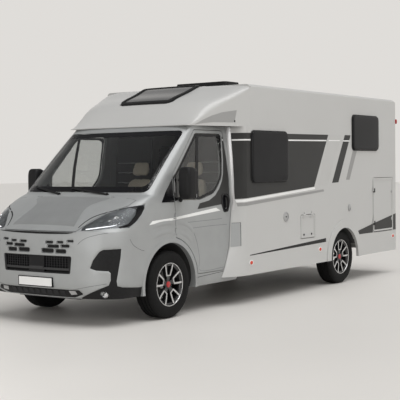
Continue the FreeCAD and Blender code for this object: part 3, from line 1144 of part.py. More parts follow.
def make_seats():
    """The two cab seats: a pedestal, and soft cushion, backrest and headrest."""
    half = SEAT_HALF
    x0, x1, z0, z1 = SEAT_CUSHION
    cushion = box(AXLE_X + x0, AXLE_X + x1, SEAT_Y - half, SEAT_Y + half, z0 + SEAT_CLEAR, z1)
    back = prism_xz(from_axle(SEAT_BACK_POINTS), SEAT_EDGE, SEAT_Y - half, SEAT_Y + half)
    back.translate(Vec(0, 0, SEAT_CLEAR))
    rest = prism_xz(from_axle(HEADREST_POINTS), SEAT_EDGE, SEAT_Y - HEADREST_HALF, SEAT_Y + HEADREST_HALF)
    b0, b1, c0, c1 = SEAT_BASE
    pedestal = box(AXLE_X + b0, AXLE_X + b1, SEAT_Y - half + OVERRUN, SEAT_Y + half - OVERRUN, c0, c1)
    posts = []
    for offset in (-OVERRUN, OVERRUN):
        x = AXLE_X + (HEADREST_POINTS[0][0] + HEADREST_POINTS[1][0]) / 2
        posts.append(rod(Vec(x, SEAT_Y + offset, SEAT_BACK_POINTS[2][1] + SEAT_CLEAR), Vec(x, SEAT_Y + offset, HEADREST_POINTS[0][1]), PIN_RADIUS))
    return {
        "seat_cushions": group(both([cushion, back, rest])),
        "seat_frames": group(both([pedestal] + posts)),
    }


def make_steering_wheel():
    """The rim, two spokes and column of the steering wheel."""
    x, y, z = WHEEL_CENTRE
    centre = Vec(AXLE_X + x, y, z)
    tilt = Vec(STEER_TILT).normalize()
    ring = Part.makeTorus(STEER_RADIUS, STEER_GRIP, centre, tilt * -1)
    spoke = rod(centre - ACROSS * STEER_RADIUS, centre + ACROSS * STEER_RADIUS, STEER_GRIP / 2)
    hub = rod(centre - tilt * STEER_GRIP, centre + tilt * STEER_GRIP, STEER_GRIP * 4)
    column = rod(centre, centre + tilt * STEER_RADIUS * 2, COLUMN_RADIUS)
    return [fuse([ring, spoke, hub, column])]


def make_furniture():
    """Wardrobe, bench, kitchen blocks round the side locker, and the bulkhead and bed base round the garage."""
    floor_z = COACH_LOW_Z + COACH_FLOOR_THICK
    side = COACH_SIDE_Y - COACH_WALL
    parts = []
    for x0, x1, y0, y1, top in (WARDROBE, BENCH):
        parts.append(box(AXLE_X + x0, AXLE_X + x1, y0, y1, floor_z, top))
    x0, x1, y0, y1, top = KITCHEN
    pocket_x0 = SERVICE_HATCH[0] - LOCKER_MARGIN
    pocket_x1 = SERVICE_HATCH[1] + LOCKER_MARGIN
    pocket_top = SERVICE_HATCH[3] + LOCKER_MARGIN
    parts.append(box(AXLE_X + x0, AXLE_X + pocket_x0, y0, y1, floor_z, top))
    parts.append(box(AXLE_X + pocket_x1, AXLE_X + x1, y0, y1, floor_z, top))
    middle_x0 = AXLE_X + pocket_x0 + CARCASS_GAP
    middle_x1 = AXLE_X + pocket_x1 - CARCASS_GAP
    parts.append(box(middle_x0, middle_x1, y0, y1, pocket_top, top))
    parts.append(box(middle_x0, middle_x1, y0, side - LOCKER_DEPTH, floor_z, pocket_top - CARCASS_GAP))
    bulkhead = box(AXLE_X + BULKHEAD, AXLE_X + BULKHEAD + BOARD, -side, side, floor_z, BED_Z)
    bed = box(REAR_X + COACH_WALL, AXLE_X + BULKHEAD + BOARD, -side, side, BED_Z, BED_Z + BOARD)
    housings = both([wheel_disc(REAR_AXLE_X, REAR_ARCH_INNER_Y - LINER_WALL, side, REAR_ARCH_RADIUS + LINER_WALL)])
    room = coach_block(COACH_WALL, COACH_LOW_Z, COACH_HEIGHT)
    return group([p.cut(housings) for p in parts] + [fuse([bulkhead, bed]).common(room)])


MIRROR_X = -135.0
MIRROR_HEAD = (1108.0, 1275.0, 1345.0, 1722.0)
MIRROR_DEPTH_SHARES = [(-0.5, 0.0), (0.15, 0.0), (0.5, 0.3), (0.5, 0.8), (0.1, 1.0), (-0.5, 1.0)]
MIRROR_DEPTH = 130.0
MIRROR_CORNER = 40.0
MIRROR_ARM_Z = 1395.0
MIRROR_ARM_RADIUS = 24.0
MIRROR_FOOT_X = -190.0
MIRROR_FOOT_Z = 1298.0
MIRROR_FOOT_SHARE = 1.5


def make_mirror(outer):
    """The left door mirror: a tall housing on an arm from the front of the door, and its glass."""
    y0, y1, z0, z1 = MIRROR_HEAD
    plan = [(AXLE_X + MIRROR_X + a * MIRROR_DEPTH, y0 + b * (y1 - y0)) for a, b in MIRROR_DEPTH_SHARES]
    head = prism_xy(plan, MIRROR_CORNER / 2, z0, z1).common(prism_yz(rectangle(y0, y1, z0, z1), MIRROR_CORNER, 0, FRONT_X))
    glass_x = AXLE_X + MIRROR_X - MIRROR_DEPTH / 2
    glass = prism_yz(grown(rectangle(y0, y1, z0, z1), -MIRROR_CORNER / 3), MIRROR_CORNER, glass_x, glass_x + GLASS_THICK)
    head = head.cut(glass)
    root = Vec(AXLE_X + MIRROR_FOOT_X, CAB_SIDE_Y - CAB_WALL, MIRROR_FOOT_Z)
    arm = rod(root, Vec(AXLE_X + MIRROR_X, y0 + MIRROR_CORNER, MIRROR_ARM_Z), MIRROR_ARM_RADIUS)
    foot = rod(root, root + ACROSS * (CAB_WALL + GLASS_SET), MIRROR_ARM_RADIUS * MIRROR_FOOT_SHARE)
    arm = fuse([arm, foot]).cut([outer, glass])
    return {"mirror_left": fuse([head, arm]), "mirror_glass_left": glass,
            "mirror_right": mirrored(fuse([head, arm])), "mirror_glass_right": mirrored(glass)}


def main():
    nodes = make_cab()
    nodes.update(make_coach())
    nodes.update(make_roof(nodes["coach_roof"]))
    nodes.update(make_lower_body())
    nodes.update(make_mirror(cab_block(0)))
    nodes["plates"] = group([nodes.pop("front_plate"), nodes.pop("rear_plate")])
    nodes["wheel_housings"] = group([nodes.pop("wheel_arch_liners"), nodes.pop("rear_housings")])
    nodes["chassis_frame"] = make_chassis()
    nodes["front_axle"] = make_front_axle()
    nodes["rear_axle"] = make_rear_axle()
    nodes["engine_block"] = make_engine()
    nodes["underfloor_tanks"] = group(make_tanks())
    knuckle = make_knuckle()
    nodes["knuckle_left"] = knuckle
    nodes["knuckle_right"] = mirrored(knuckle)
    for name, x, y in (("front_left", AXLE_X, FRONT_TRACK / 2), ("rear_left", REAR_AXLE_X, REAR_TRACK / 2)):
        tyre = make_tyre(x, y, 1)
        rim = make_rim(x, y, 1)
        nodes["tyre_" + name] = tyre
        nodes["rim_" + name] = rim
        nodes["tyre_" + name.replace("left", "right")] = mirrored(tyre)
        nodes["rim_" + name.replace("left", "right")] = mirrored(rim)
    nodes.update(make_seats())
    nodes["steering_wheel"] = fuse(make_steering_wheel()).cut(nodes["dashboard"])
    nodes["furniture"] = make_furniture()
    os.makedirs("parts", exist_ok=True)
    for name, shape in nodes.items():
        print(name, shape.isValid(), len(shape.Solids), round(shape.Volume / 1e6, 3), shape.ShapeType)
        shape.exportStep("parts/%s.step" % name)


main()
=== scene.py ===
import bmesh
import bpy
import json
import math
from mathutils import Matrix, Vector
from mathutils.bvhtree import BVHTree


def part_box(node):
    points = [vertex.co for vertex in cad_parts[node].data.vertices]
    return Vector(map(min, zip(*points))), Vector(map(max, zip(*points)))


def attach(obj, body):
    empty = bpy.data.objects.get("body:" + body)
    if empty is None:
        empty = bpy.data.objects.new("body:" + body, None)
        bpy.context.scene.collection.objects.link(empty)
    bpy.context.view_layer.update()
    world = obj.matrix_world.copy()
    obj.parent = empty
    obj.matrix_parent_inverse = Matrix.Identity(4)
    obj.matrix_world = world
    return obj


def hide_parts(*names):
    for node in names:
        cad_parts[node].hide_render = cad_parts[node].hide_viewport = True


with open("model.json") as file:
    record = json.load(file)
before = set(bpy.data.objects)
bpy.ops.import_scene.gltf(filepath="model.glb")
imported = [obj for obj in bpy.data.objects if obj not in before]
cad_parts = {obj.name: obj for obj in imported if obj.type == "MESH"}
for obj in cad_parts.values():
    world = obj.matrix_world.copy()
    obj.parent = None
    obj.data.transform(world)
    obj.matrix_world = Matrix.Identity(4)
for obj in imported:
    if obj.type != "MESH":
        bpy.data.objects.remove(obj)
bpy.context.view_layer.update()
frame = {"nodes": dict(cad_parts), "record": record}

bl_info = {
    "name": "Motorhome looks",
    "version": (1, 0, 0),
    "blender": (4, 5, 0),
    "location": "View3D > Sidebar > Motorhome",
    "description": "Finishes, markings and fittings of a low-profile motorhome",
    "category": "Object",
}

# Metres. Places along the vehicle are given from the front axle and turned into the frame by at().
AXLE_X = 2.375
SIDE_Y = 1.160
WHEEL_Z = 0.387
SEAT_Y = 0.430
STEERING = (-0.560, 0.430, 1.190)
LEFT = 1
RIGHT = -1
SIDES = (("left", LEFT), ("right", RIGHT))
# Rays start this far out, beyond the vehicle
FAR = 6.0
# How far a film, and a line on top of it, stands off the paint
FILM = 0.0012
LINE = 0.0022


def at(x):
    """A station from the front axle, in the frame."""
    return AXLE_X + x


class StageSettings(bpy.types.PropertyGroup):
    """Floor, light and camera."""
    floor_colour: bpy.props.FloatVectorProperty(
        name="Floor", description="Colour of the studio floor", subtype="COLOR", size=3, default=(0.66, 0.64, 0.61))
    lens: bpy.props.FloatProperty(
        name="Lens", description="Focal length of the camera", unit="CAMERA", default=90.22)
    sky_power: bpy.props.FloatProperty(
        name="Sky light", description="Strength of the wide soft light overhead", default=2.3)
    side_power: bpy.props.FloatProperty(
        name="Side light", description="Power of the soft light on the left", unit="POWER", default=150.0)
    low_power: bpy.props.FloatProperty(
        name="Low light", description="Power of the soft light low in front", unit="POWER", default=55.0)
    surround: bpy.props.FloatProperty(
        name="Surround", description="Strength of the even surrounding light", default=0.78)


class PaintSettings(bpy.types.PropertyGroup):
    """Colours of the bodywork and its markings."""
    cab: bpy.props.FloatVectorProperty(
        name="Cab", description="Silver paint of the cab", subtype="COLOR", size=3, default=(0.37, 0.38, 0.38))
    coach: bpy.props.FloatVectorProperty(
        name="Coach", description="Pale paint of the coach body", subtype="COLOR", size=3, default=(0.50, 0.50, 0.49))
    band: bpy.props.FloatVectorProperty(
        name="Band", description="Dark band round the windows", subtype="COLOR", size=3, default=(0.035, 0.035, 0.034))
    pale_line: bpy.props.FloatVectorProperty(
        name="Pale line", description="White lines", subtype="COLOR", size=3, default=(0.85, 0.85, 0.84))
    grey_line: bpy.props.FloatVectorProperty(
        name="Grey line", description="Mid-grey bands", subtype="COLOR", size=3, default=(0.30, 0.30, 0.295))


def link(obj):
    """Adds an object to the scene."""
    bpy.context.scene.collection.objects.link(obj)
    return obj


# Finishes

FINISH = {}


def shade(colour, share):
    """A colour made darker."""
    return tuple(c * share for c in colour)


def finish(name, colour, second=None, scale=12.0, rough=0.4, spread=0.06, metallic=0.0, coat=0.0, grain=0.0,
           grain_scale=300.0, glow=0.0, clear=0.0, index=1.45, sheen=0.0, stretch=(1.0, 1.0, 1.0), shine=0.5):
    """A finish of two tones blended by noise, with uneven gloss and, where asked, a fine grain."""
    mat = bpy.data.materials.new(name)
    mat.use_nodes = True
    tree = mat.node_tree
    shader = tree.nodes["Principled BSDF"]
    second = second or shade(colour, 0.9)
    shader.inputs["Metallic"].default_value = metallic
    shader.inputs["Coat Weight"].default_value = coat
    shader.inputs["Coat Roughness"].default_value = 0.05
    shader.inputs["Transmission Weight"].default_value = clear
    shader.inputs["IOR"].default_value = index
    shader.inputs["Specular IOR Level"].default_value = shine
    shader.inputs["Sheen Weight"].default_value = sheen
    if glow:
        shader.inputs["Emission Color"].default_value = (*colour, 1)
        shader.inputs["Emission Strength"].default_value = glow
    place = tree.nodes.new("ShaderNodeTexCoord")
    turn = tree.nodes.new("ShaderNodeMapping")
    turn.inputs["Scale"].default_value = stretch
    tree.links.new(place.outputs["Object"], turn.inputs["Vector"])
    noise = tree.nodes.new("ShaderNodeTexNoise")
    noise.inputs["Scale"].default_value = scale
    noise.inputs["Detail"].default_value = 5.0
    tree.links.new(turn.outputs["Vector"], noise.inputs["Vector"])
    ramp = tree.nodes.new("ShaderNodeValToRGB")
    ramp.color_ramp.elements[0].position = 0.3
    ramp.color_ramp.elements[1].position = 0.7
    ramp.color_ramp.elements[0].color = (*second, 1)
    ramp.color_ramp.elements[1].color = (*colour, 1)
    tree.links.new(noise.outputs["Fac"], ramp.inputs["Fac"])
    tree.links.new(ramp.outputs["Color"], shader.inputs["Base Color"])
    span = tree.nodes.new("ShaderNodeMapRange")
    span.inputs["To Min"].default_value = max(0.01, rough - spread)
    span.inputs["To Max"].default_value = min(1.0, rough + spread)
    tree.links.new(noise.outputs["Fac"], span.inputs["Value"])
    tree.links.new(span.outputs["Result"], shader.inputs["Roughness"])
    if grain:
        fine = tree.nodes.new("ShaderNodeTexNoise")
        fine.inputs["Scale"].default_value = grain_scale
        tree.links.new(turn.outputs["Vector"], fine.inputs["Vector"])
        relief = tree.nodes.new("ShaderNodeBump")
        relief.inputs["Strength"].default_value = grain
        relief.inputs["Distance"].default_value = 0.001
        tree.links.new(fine.outputs["Fac"], relief.inputs["Height"])
        tree.links.new(relief.outputs["Normal"], shader.inputs["Normal"])
    FINISH[name] = mat
    return mat


def make_finishes(paint):
    """Every finish, by name: its two tones, the noise's scale, roughness and its spread, metallic, coat."""
    finish("silver_paint", tuple(paint.cab), shade(paint.cab, 0.94), 6.0, 0.50, 0.04, 0.40, 0.15,
           grain=0.04, grain_scale=2500.0)
    # Painted shade: a darker silver for the bonnet's middle panel
    finish("silver_painted_shade", shade(paint.cab, 0.80), shade(paint.cab, 0.74), 6.0, 0.48, 0.04, 0.40, 0.15,
           grain=0.04, grain_scale=2500.0)
    # Painted shade: dark lines along the door's folds
    finish("fold_painted_shade", shade(paint.cab, 0.62), None, 6.0, 0.45, 0.04, 0.4)
    # Painted shade: a darker coach paint for the cap's side recess
    finish("coach_painted_shade", shade(paint.coach, 0.66), None, 1.5, 0.35, 0.04, 0.0, 0.2)
    finish("coach_paint", tuple(paint.coach), shade(paint.coach, 0.975), 1.5, 0.38, 0.04, 0.0, 0.2)
    finish("band_film", tuple(paint.band), shade(paint.band, 0.85), 3.0, 0.35, 0.05, shine=0.25)
    finish("pale_film", tuple(paint.pale_line), None, 3.0, 0.3)
    finish("grey_film", tuple(paint.grey_line), shade(paint.grey_line, 0.93), 3.0, 0.3, 0.05, 0.2, 0.3)
    finish("light_film", (0.50, 0.50, 0.49), (0.47, 0.47, 0.46), 3.0, 0.3, 0.05, 0.1, 0.3)
    finish("black_plastic", (0.012, 0.012, 0.013), (0.008, 0.008, 0.008), 40.0, 0.5, 0.08, grain=0.25,
           grain_scale=900.0, shine=0.25)
    finish("grille_plastic", (0.016, 0.016, 0.018), (0.011, 0.011, 0.012), 40.0, 0.4, 0.08, grain=0.2,
           grain_scale=900.0, shine=0.3)
    finish("pale_plastic", (0.40, 0.40, 0.40), (0.34, 0.34, 0.34), 30.0, 0.4)
    finish("seam_shadow", (0.060, 0.060, 0.060), (0.045, 0.045, 0.045), 20.0, 0.7)
    finish("gloss_black", (0.008, 0.008, 0.009), (0.006, 0.006, 0.007), 5.0, 0.15, 0.03, shine=0.3)
    finish("deep_black", (0.004, 0.004, 0.004), (0.003, 0.003, 0.003), 5.0, 0.8)
    finish("seal_rubber", (0.015, 0.015, 0.015), (0.010, 0.010, 0.010), 30.0, 0.65, grain=0.2)
    finish("cab_glass", (0.76, 0.775, 0.765), (0.74, 0.755, 0.745), 1.0, 0.012, 0.004, clear=1.0)
    finish("tinted_glass", (0.016, 0.016, 0.017), (0.012, 0.012, 0.013), 2.0, 0.10, 0.02, shine=0.15)
    finish("roof_dome", (0.085, 0.085, 0.085), (0.07, 0.07, 0.07), 2.0, 0.12, 0.03, coat=0.4)
    finish("lamp_lens", (0.93, 0.95, 0.96), (0.91, 0.93, 0.94), 2.0, 0.012, 0.004, clear=1.0, index=1.10)
    finish("lamp_chrome", (0.72, 0.73, 0.74), (0.62, 0.63, 0.64), 60.0, 0.18, 0.06, 0.95)
    finish("lamp_shade", (0.17, 0.175, 0.18), (0.12, 0.125, 0.13), 30.0, 0.45, 0.05, 0.2)
    finish("lamp_grey", (0.50, 0.505, 0.51), (0.30, 0.305, 0.31), 18.0, 0.36, 0.06, 0.3)
    finish("daylight_strip", (0.93, 0.95, 1.0), None, 3.0, 0.25, glow=0.6)
    finish("mirror_glass", (0.75, 0.77, 0.78), None, 2.0, 0.03, 0.01, 1.0)
    finish("lamp_red", (0.42, 0.012, 0.010), (0.34, 0.008, 0.008), 40.0, 0.15, 0.04, coat=0.6)
    finish("marker_red", (0.62, 0.045, 0.012), (0.50, 0.03, 0.01), 60.0, 0.2, 0.04, coat=0.5)
    finish("tyre_rubber", (0.012, 0.012, 0.012), (0.008, 0.008, 0.008), 25.0, 0.62, 0.10, grain=0.3, grain_scale=700.0,
           shine=0.12)
    finish("wheel_black", (0.012, 0.012, 0.013), (0.009, 0.009, 0.010), 20.0, 0.22, 0.05, coat=0.5)
    finish("turned_alloy", (0.72, 0.72, 0.72), (0.60, 0.60, 0.60), 90.0, 0.22, 0.05, 0.95)
    finish("brake_iron", (0.16, 0.155, 0.15), (0.10, 0.095, 0.09), 70.0, 0.45, 0.1, 0.8)
    finish("cap_red", (0.42, 0.012, 0.016), (0.36, 0.01, 0.012), 30.0, 0.25, coat=0.4)
    finish("steel", (0.16, 0.16, 0.165), (0.10, 0.10, 0.105), 14.0, 0.5, 0.12, 0.75, grain=0.15)
    finish("engine_grey", (0.11, 0.11, 0.115), (0.07, 0.07, 0.075), 16.0, 0.55, 0.1, 0.4)
    finish("aluminium", (0.62, 0.62, 0.62), (0.52, 0.52, 0.52), 50.0, 0.32, 0.06, 0.9, stretch=(1, 1, 8))
    finish("skirt_underside", (0.05, 0.05, 0.05), (0.035, 0.035, 0.035), 10.0, 0.8, 0.05, grain=0.3)
    finish("floor_board", (0.10, 0.095, 0.085), (0.07, 0.066, 0.06), 5.0, 0.6, 0.1, stretch=(1, 6, 1))
    finish("oak_board", (0.42, 0.30, 0.19), (0.34, 0.235, 0.145), 6.0, 0.45, 0.08, stretch=(1, 1, 9), grain=0.1)
    finish("cream_cloth", (0.84, 0.75, 0.61), (0.76, 0.67, 0.54), 140.0, 0.9, 0.05, grain=0.5, grain_scale=1100.0,
           sheen=0.3)
    finish("dark_cloth", (0.045, 0.043, 0.042), (0.030, 0.029, 0.028), 160.0, 0.9, 0.05, grain=0.5, grain_scale=1100.0,
           sheen=0.3)
    finish("plate_face", (0.80, 0.80, 0.79), (0.77, 0.77, 0.76), 8.0, 0.35)
    finish("dash_plastic", (0.035, 0.035, 0.036), (0.026, 0.026, 0.027), 30.0, 0.6, 0.08, grain=0.4, grain_scale=800.0)


# Mesh tools

# Points closer than this are joined; edges sharper than these angles stay sharp
WELD = 0.00001
CREASE = 35.0
SOFT_CREASE = 60.0


def finished(bm, name, finish_name, body, crease=CREASE, stands_for=(), weld=WELD):
    """Turns a working mesh into a finished piece on its body."""
    if weld:
        bmesh.ops.remove_doubles(bm, verts=bm.verts, dist=weld)
    bmesh.ops.recalc_face_normals(bm, faces=bm.faces)
    mesh = bpy.data.meshes.new(name)
    bm.to_mesh(mesh)
    bm.free()
    return placed(mesh, name, finish_name, body, crease, stands_for)


def placed(mesh, name, finish_name, body, crease=CREASE, stands_for=()):
    """A mesh as a finished piece on its body."""
    mesh.materials.clear()
    mesh.materials.append(FINISH[finish_name])
    for face in mesh.polygons:
        face.use_smooth = True
    mesh.set_sharp_from_angle(angle=math.radians(crease))
    obj = link(bpy.data.objects.new(name, mesh))
    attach(obj, body)
    if stands_for:
        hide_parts(*stands_for)
    return obj


def add_box(bm, low, high):
    """A block between two corners."""
    size = [high[i] - low[i] for i in range(3)]
    middle = [(high[i] + low[i]) / 2 for i in range(3)]
    bmesh.ops.create_cube(bm, size=1.0, matrix=Matrix.Translation(middle) @ Matrix.Diagonal((*size, 1.0)))


def add_rod(bm, start, end, radius, sides=20):
    """A round bar between two points."""
    start = Vector(start)
    run = Vector(end) - start
    turn = run.to_track_quat("Z", "Y").to_matrix().to_4x4()
    middle = Matrix.Translation(start + run / 2)
    bmesh.ops.create_cone(bm, cap_ends=True, segments=sides, radius1=radius, radius2=radius, depth=run.length,
                          matrix=middle @ turn)


def join_rings(bm, rings, closed=False, capped=False):
    """Faces between rings of points, back to the first where closed, and over both ends where capped."""
    count = len(rings[0])
    for first, second in zip(rings, rings[1:] + rings[:1] if closed else rings[1:]):
        for i in range(count):
            j = (i + 1) % count
            bm.faces.new((first[i], first[j], second[j], second[i]))
    if capped:
        bm.faces.new(rings[0])
        bm.faces.new(rings[-1])


def join_block(bm, low, high):
    """The ends and the sides of a block between two outlines of points."""
    count = len(low)
    bm.faces.new(low)
    bm.faces.new(reversed(high))
    for i in range(count):
        j = (i + 1) % count
        bm.faces.new((low[j], low[i], high[i], high[j]))


def full_turn(steps):
    """Cosine and sine of even steps round a circle."""
    return [(math.cos(2 * math.pi * i / steps), math.sin(2 * math.pi * i / steps)) for i in range(steps)]


def rounded(points, radius, steps=5):
    """An outline with its corners rounded. radius may be one value or one for each corner."""
    count = len(points)
    radii = radius if isinstance(radius, (list, tuple)) else [radius] * count
    out = []
    for i in range(count):
        before, here, after = Vector(points[i - 1]), Vector(points[i]), Vector(points[(i + 1) % count])
        if radii[i] <= 0:
            out.append(tuple(here))
            continue
        to_before = before - here
        to_after = after - here
        room = min(to_before.length, to_after.length) * 0.49
        to_before.normalize()
        to_after.normalize()
        half = math.acos(max(-1.0, min(1.0, to_before.dot(to_after)))) / 2
        if half > math.pi / 2 - 0.02:
            out.append(tuple(here))
            continue
        setback = min(radii[i] / math.tan(half), room)
        start = here + to_before * setback
        end = here + to_after * setback
        for k in range(steps + 1):
            t = k / steps
            out.append(tuple(start * (1 - t) ** 2 + here * 2 * t * (1 - t) + end * t ** 2))
    return out


def rect(u0, u1, v0, v1):
    """The outline of a rectangle."""
    return [(u0, v0), (u1, v0), (u1, v1), (u0, v1)]


def grown(bounds, by):
    """A rectangle's bounds moved out on every side, or in where by is negative."""
    u0, u1, v0, v1 = bounds
    return (u0 - by, u1 + by, v0 - by, v1 + by)


def add_prism(bm, outline, place, run):
    """An outline, set in space by place(u, v), run along a vector."""
    low = [bm.verts.new(place(u, v)) for u, v in outline]
    join_block(bm, low, [bm.verts.new(v.co + Vector(run)) for v in low])


def side_place(y):
    """Sets a side view's outline in space."""
    return lambda u, v: (u, y, v)


def front_place(x):
    """Sets a front view's outline in space."""
    return lambda u, v: (x, u, v)


def add_frame(bm, outer, inner, place, run):
    """A ring between two outlines with the same number of points, run along a vector."""
    rows = []
    for outline in (outer, inner):
        low = [bm.verts.new(place(u, v)) for u, v in outline]
        rows += [low, [bm.verts.new(v.co + Vector(run)) for v in low]]
    join_rings(bm, [rows[0], rows[1], rows[3], rows[2]], closed=True)


def add_turned(bm, profile, centre, steps=64, closed=True):
    """A profile of (distance along the level axle, radius) turned round it."""
    x, y, z = centre
    circle = full_turn(steps)
    join_rings(bm, [[bm.verts.new((x + r * c, y + a, z + r * s)) for c, s in circle] for a, r in profile], closed)


def add_round(bm, profile, centre, way, steps=32):
    """A profile of (distance along a direction, radius) turned round that direction."""
    way = Vector(way).normalized()
    side = way.orthogonal().normalized()
    up = way.cross(side)
    circle = full_turn(steps)
    join_rings(bm, [[bm.verts.new(Vector(centre) + way * a + (side * c + up * s) * r) for c, s in circle]
                    for a, r in profile])


def add_tube(bm, path, radius, sides=8, flat=1.0):
    """A tube along a path of points, closed at both ends."""
    points = [Vector(p) for p in path]
    rings = []
    side = None
    for i, point in enumerate(points):
        ahead = (points[min(i + 1, len(points) - 1)] - points[max(i - 1, 0)]).normalized()
        if side is None:
            side = ahead.orthogonal().normalized()
        side = (side - ahead * side.dot(ahead)).normalized()
        up = ahead.cross(side)
        rings.append([bm.verts.new(point + side * radius * c + up * radius * flat * s) for c, s in full_turn(sides)])
    join_rings(bm, rings)
    bm.faces.new(reversed(rings[0]))
    bm.faces.new(rings[-1])


def smooth_path(points, steps=6):
    """A soft curve through points."""
    pts = [Vector(p) for p in points]
    out = []
    for i in range(len(pts) - 1):
        p0, p1, p2, p3 = pts[max(i - 1, 0)], pts[i], pts[i + 1], pts[min(i + 2, len(pts) - 1)]
        for k in range(steps):
            t = k / steps
            out.append(0.5 * (2 * p1 + (p2 - p0) * t + (2 * p0 - 5 * p1 + 4 * p2 - p3) * t ** 2
                              + (3 * p1 - p0 - 3 * p2 + p3) * t ** 3))
    out.append(pts[-1])
    return out


class Skin:
    """The outside of some of the frame's nodes, to lay markings on."""

    def __init__(self, *nodes):
        verts = []
        faces = []
        for node in nodes:
            mesh = frame["nodes"][node].data
            base = len(verts)
            verts.extend(v.co.copy() for v in mesh.vertices)
            faces.extend([base + k for k in f.vertices] for f in mesh.polygons)
        self.tree = BVHTree.FromPolygons(verts, faces)
        self.nodes = nodes

    def drop(self, start, way):
        """Where a ray from start meets the surface."""
        hit = self.tree.ray_cast(Vector(start), Vector(way))[0]
        if hit is None:
            raise RuntimeError(f"no surface of {self.nodes} under {tuple(round(c, 3) for c in start)}")
        return hit

    def beside(self, x, z, side):
        """The surface at x, z of the left or right side."""
        return self.drop((x, side * FAR, z), (0, -side, 0))

    def ahead(self, y, z):
        """How far the surface reaches to the front at y, z."""
        return self.drop((FAR, y, z), (-1, 0, 0)).x

    def under(self, axes, u, v):
        """The surface at u, v of a view, given by its axes."""
        across, up, way = axes
        return self.drop(across * u + up * v - way * FAR, way)


# How far round from the front the corner views look
CORNER_TURN = math.radians(38.0)


def view_axes(view):
    """Across, up and the way that a marking drops on to the vehicle, seen from one side of it."""
    c, s = math.cos(CORNER_TURN), math.sin(CORNER_TURN)
    axes = {
        "left": ((1, 0, 0), (0, 0, 1), (0, -1, 0)), "right": ((1, 0, 0), (0, 0, 1), (0, 1, 0)),
        "front": ((0, 1, 0), (0, 0, 1), (-1, 0, 0)), "rear": ((0, 1, 0), (0, 0, 1), (1, 0, 0)),
        "top": ((1, 0, 0), (0, 1, 0), (0, 0, -1)),
        "left_corner": ((-s, c, 0), (0, 0, 1), (-c, -s, 0)), "right_corner": ((-s, -c, 0), (0, 0, 1), (-c, s, 0)),
    }
    return [Vector(axis) for axis in axes[view]]


def at_corner(points):
    """Points (x from the front axle, y, z) of the left side as (across, up), seen from the front corner."""
    c, s = math.cos(CORNER_TURN), math.sin(CORNER_TURN)
    return [(c * y - s * at(x), z) for x, y, z in points]


def sideways(path):
    """The direction to the left of a flat path, at each of its points."""
    out = []
    for i in range(len(path)):
        run = Vector(path[min(i + 1, len(path) - 1)]) - Vector(path[max(i - 1, 0)])
        out.append(Vector((-run.y, run.x)).normalized())
    return out


def strip(path, width):
    """The outline of a strip along a flat path. width may be one value or one for each point."""
    widths = width if isinstance(width, (list, tuple)) else [width] * len(path)
    ways = sideways(path)
    left = [tuple(Vector(p) + n * w / 2) for p, n, w in zip(path, ways, widths)]
    right = [tuple(Vector(p) - n * w / 2) for p, n, w in zip(path, ways, widths)]
    return left + right[::-1]


def smooth_line(points, steps=5):
    """A soft flat curve through flat points."""
    return [(p.x, p.y) for p in smooth_path([(u, v, 0.0) for u, v in points], steps)]


def cut_by_lines(bm, normal, places):
    """Cuts a flat mesh by lines square to a direction, at distances along it."""
    for value in places:
        geometry = bm.verts[:] + bm.edges[:] + bm.faces[:]
        bmesh.ops.bisect_plane(bm, geom=geometry, dist=1e-6, plane_co=normal * value, plane_no=normal)


def spaced(low, high, step):
    """Places that split a length into pieces of at least one step."""
    count = max(1, int((high - low) / step))
    return [low + (high - low) * i / count for i in range(1, count)]


def laid_on(bm, outlines, skin, view, cells=(None, None), keep=None, leave=(), lift=FILM, sink=0.0006):
    """Adds thin closed sheets that follow a surface, from outlines (across, up) in one of view_axes' views.

    cells gives the spacing or the places of cuts across and up; keep and leave are rectangles kept and cut out.
    """
    across, up, way = view_axes(view)
    flat = bmesh.new()
    for outline in outlines:
        flat.faces.new([flat.verts.new(across * u + up * v) for u, v in outline])
    for axis, step in ((across, cells[0]), (up, cells[1])):
        if isinstance(step, float):
            values = [v.co.dot(axis) for v in flat.verts]
            step = spaced(min(values), max(values), step)
        if step:
            cut_by_lines(flat, axis, step)
    for area in list(leave) + ([keep] if keep else []):
        cut_by_lines(flat, across, area[:2])
        cut_by_lines(flat, up, area[2:])

    def inside(face, area):
        middle = face.calc_center_median()
        return area[0] < middle.dot(across) < area[1] and area[2] < middle.dot(up) < area[3]

    gone = [f for f in flat.faces if (keep and not inside(f, keep)) or any(inside(f, area) for area in leave)]
    if gone:
        bmesh.ops.delete(flat, geom=gone, context="FACES")
    flat.faces.ensure_lookup_table()
    flat.verts.index_update()
    top = {}
    low = {}
    for vert in flat.verts:
        if not vert.link_faces:
            continue
        hit = skin.drop(vert.co - way * FAR, way)
        top[vert.index] = bm.verts.new(hit - way * lift)
        low[vert.index] = bm.verts.new(hit + way * sink)
    for face in flat.faces:
        ids = [v.index for v in face.verts]
        bm.faces.new([top[k] for k in ids])
        bm.faces.new([low[k] for k in reversed(ids)])
    for edge in flat.edges:
        if len(edge.link_faces) == 1:
            a, b = (v.index for v in edge.verts)
            bm.faces.new((top[a], top[b], low[b], low[a]))
    flat.free()


def lay_sheet(name, kind, body, outlines, skin, view, cells=(None, None), lift=FILM, crease=CREASE,
              stands_for=()):
    """Thin sheets that follow a surface, as one piece."""
    bm = bmesh.new()
    laid_on(bm, outlines, skin, view, cells, lift=lift)
    finished(bm, name, kind, body, crease, stands_for)


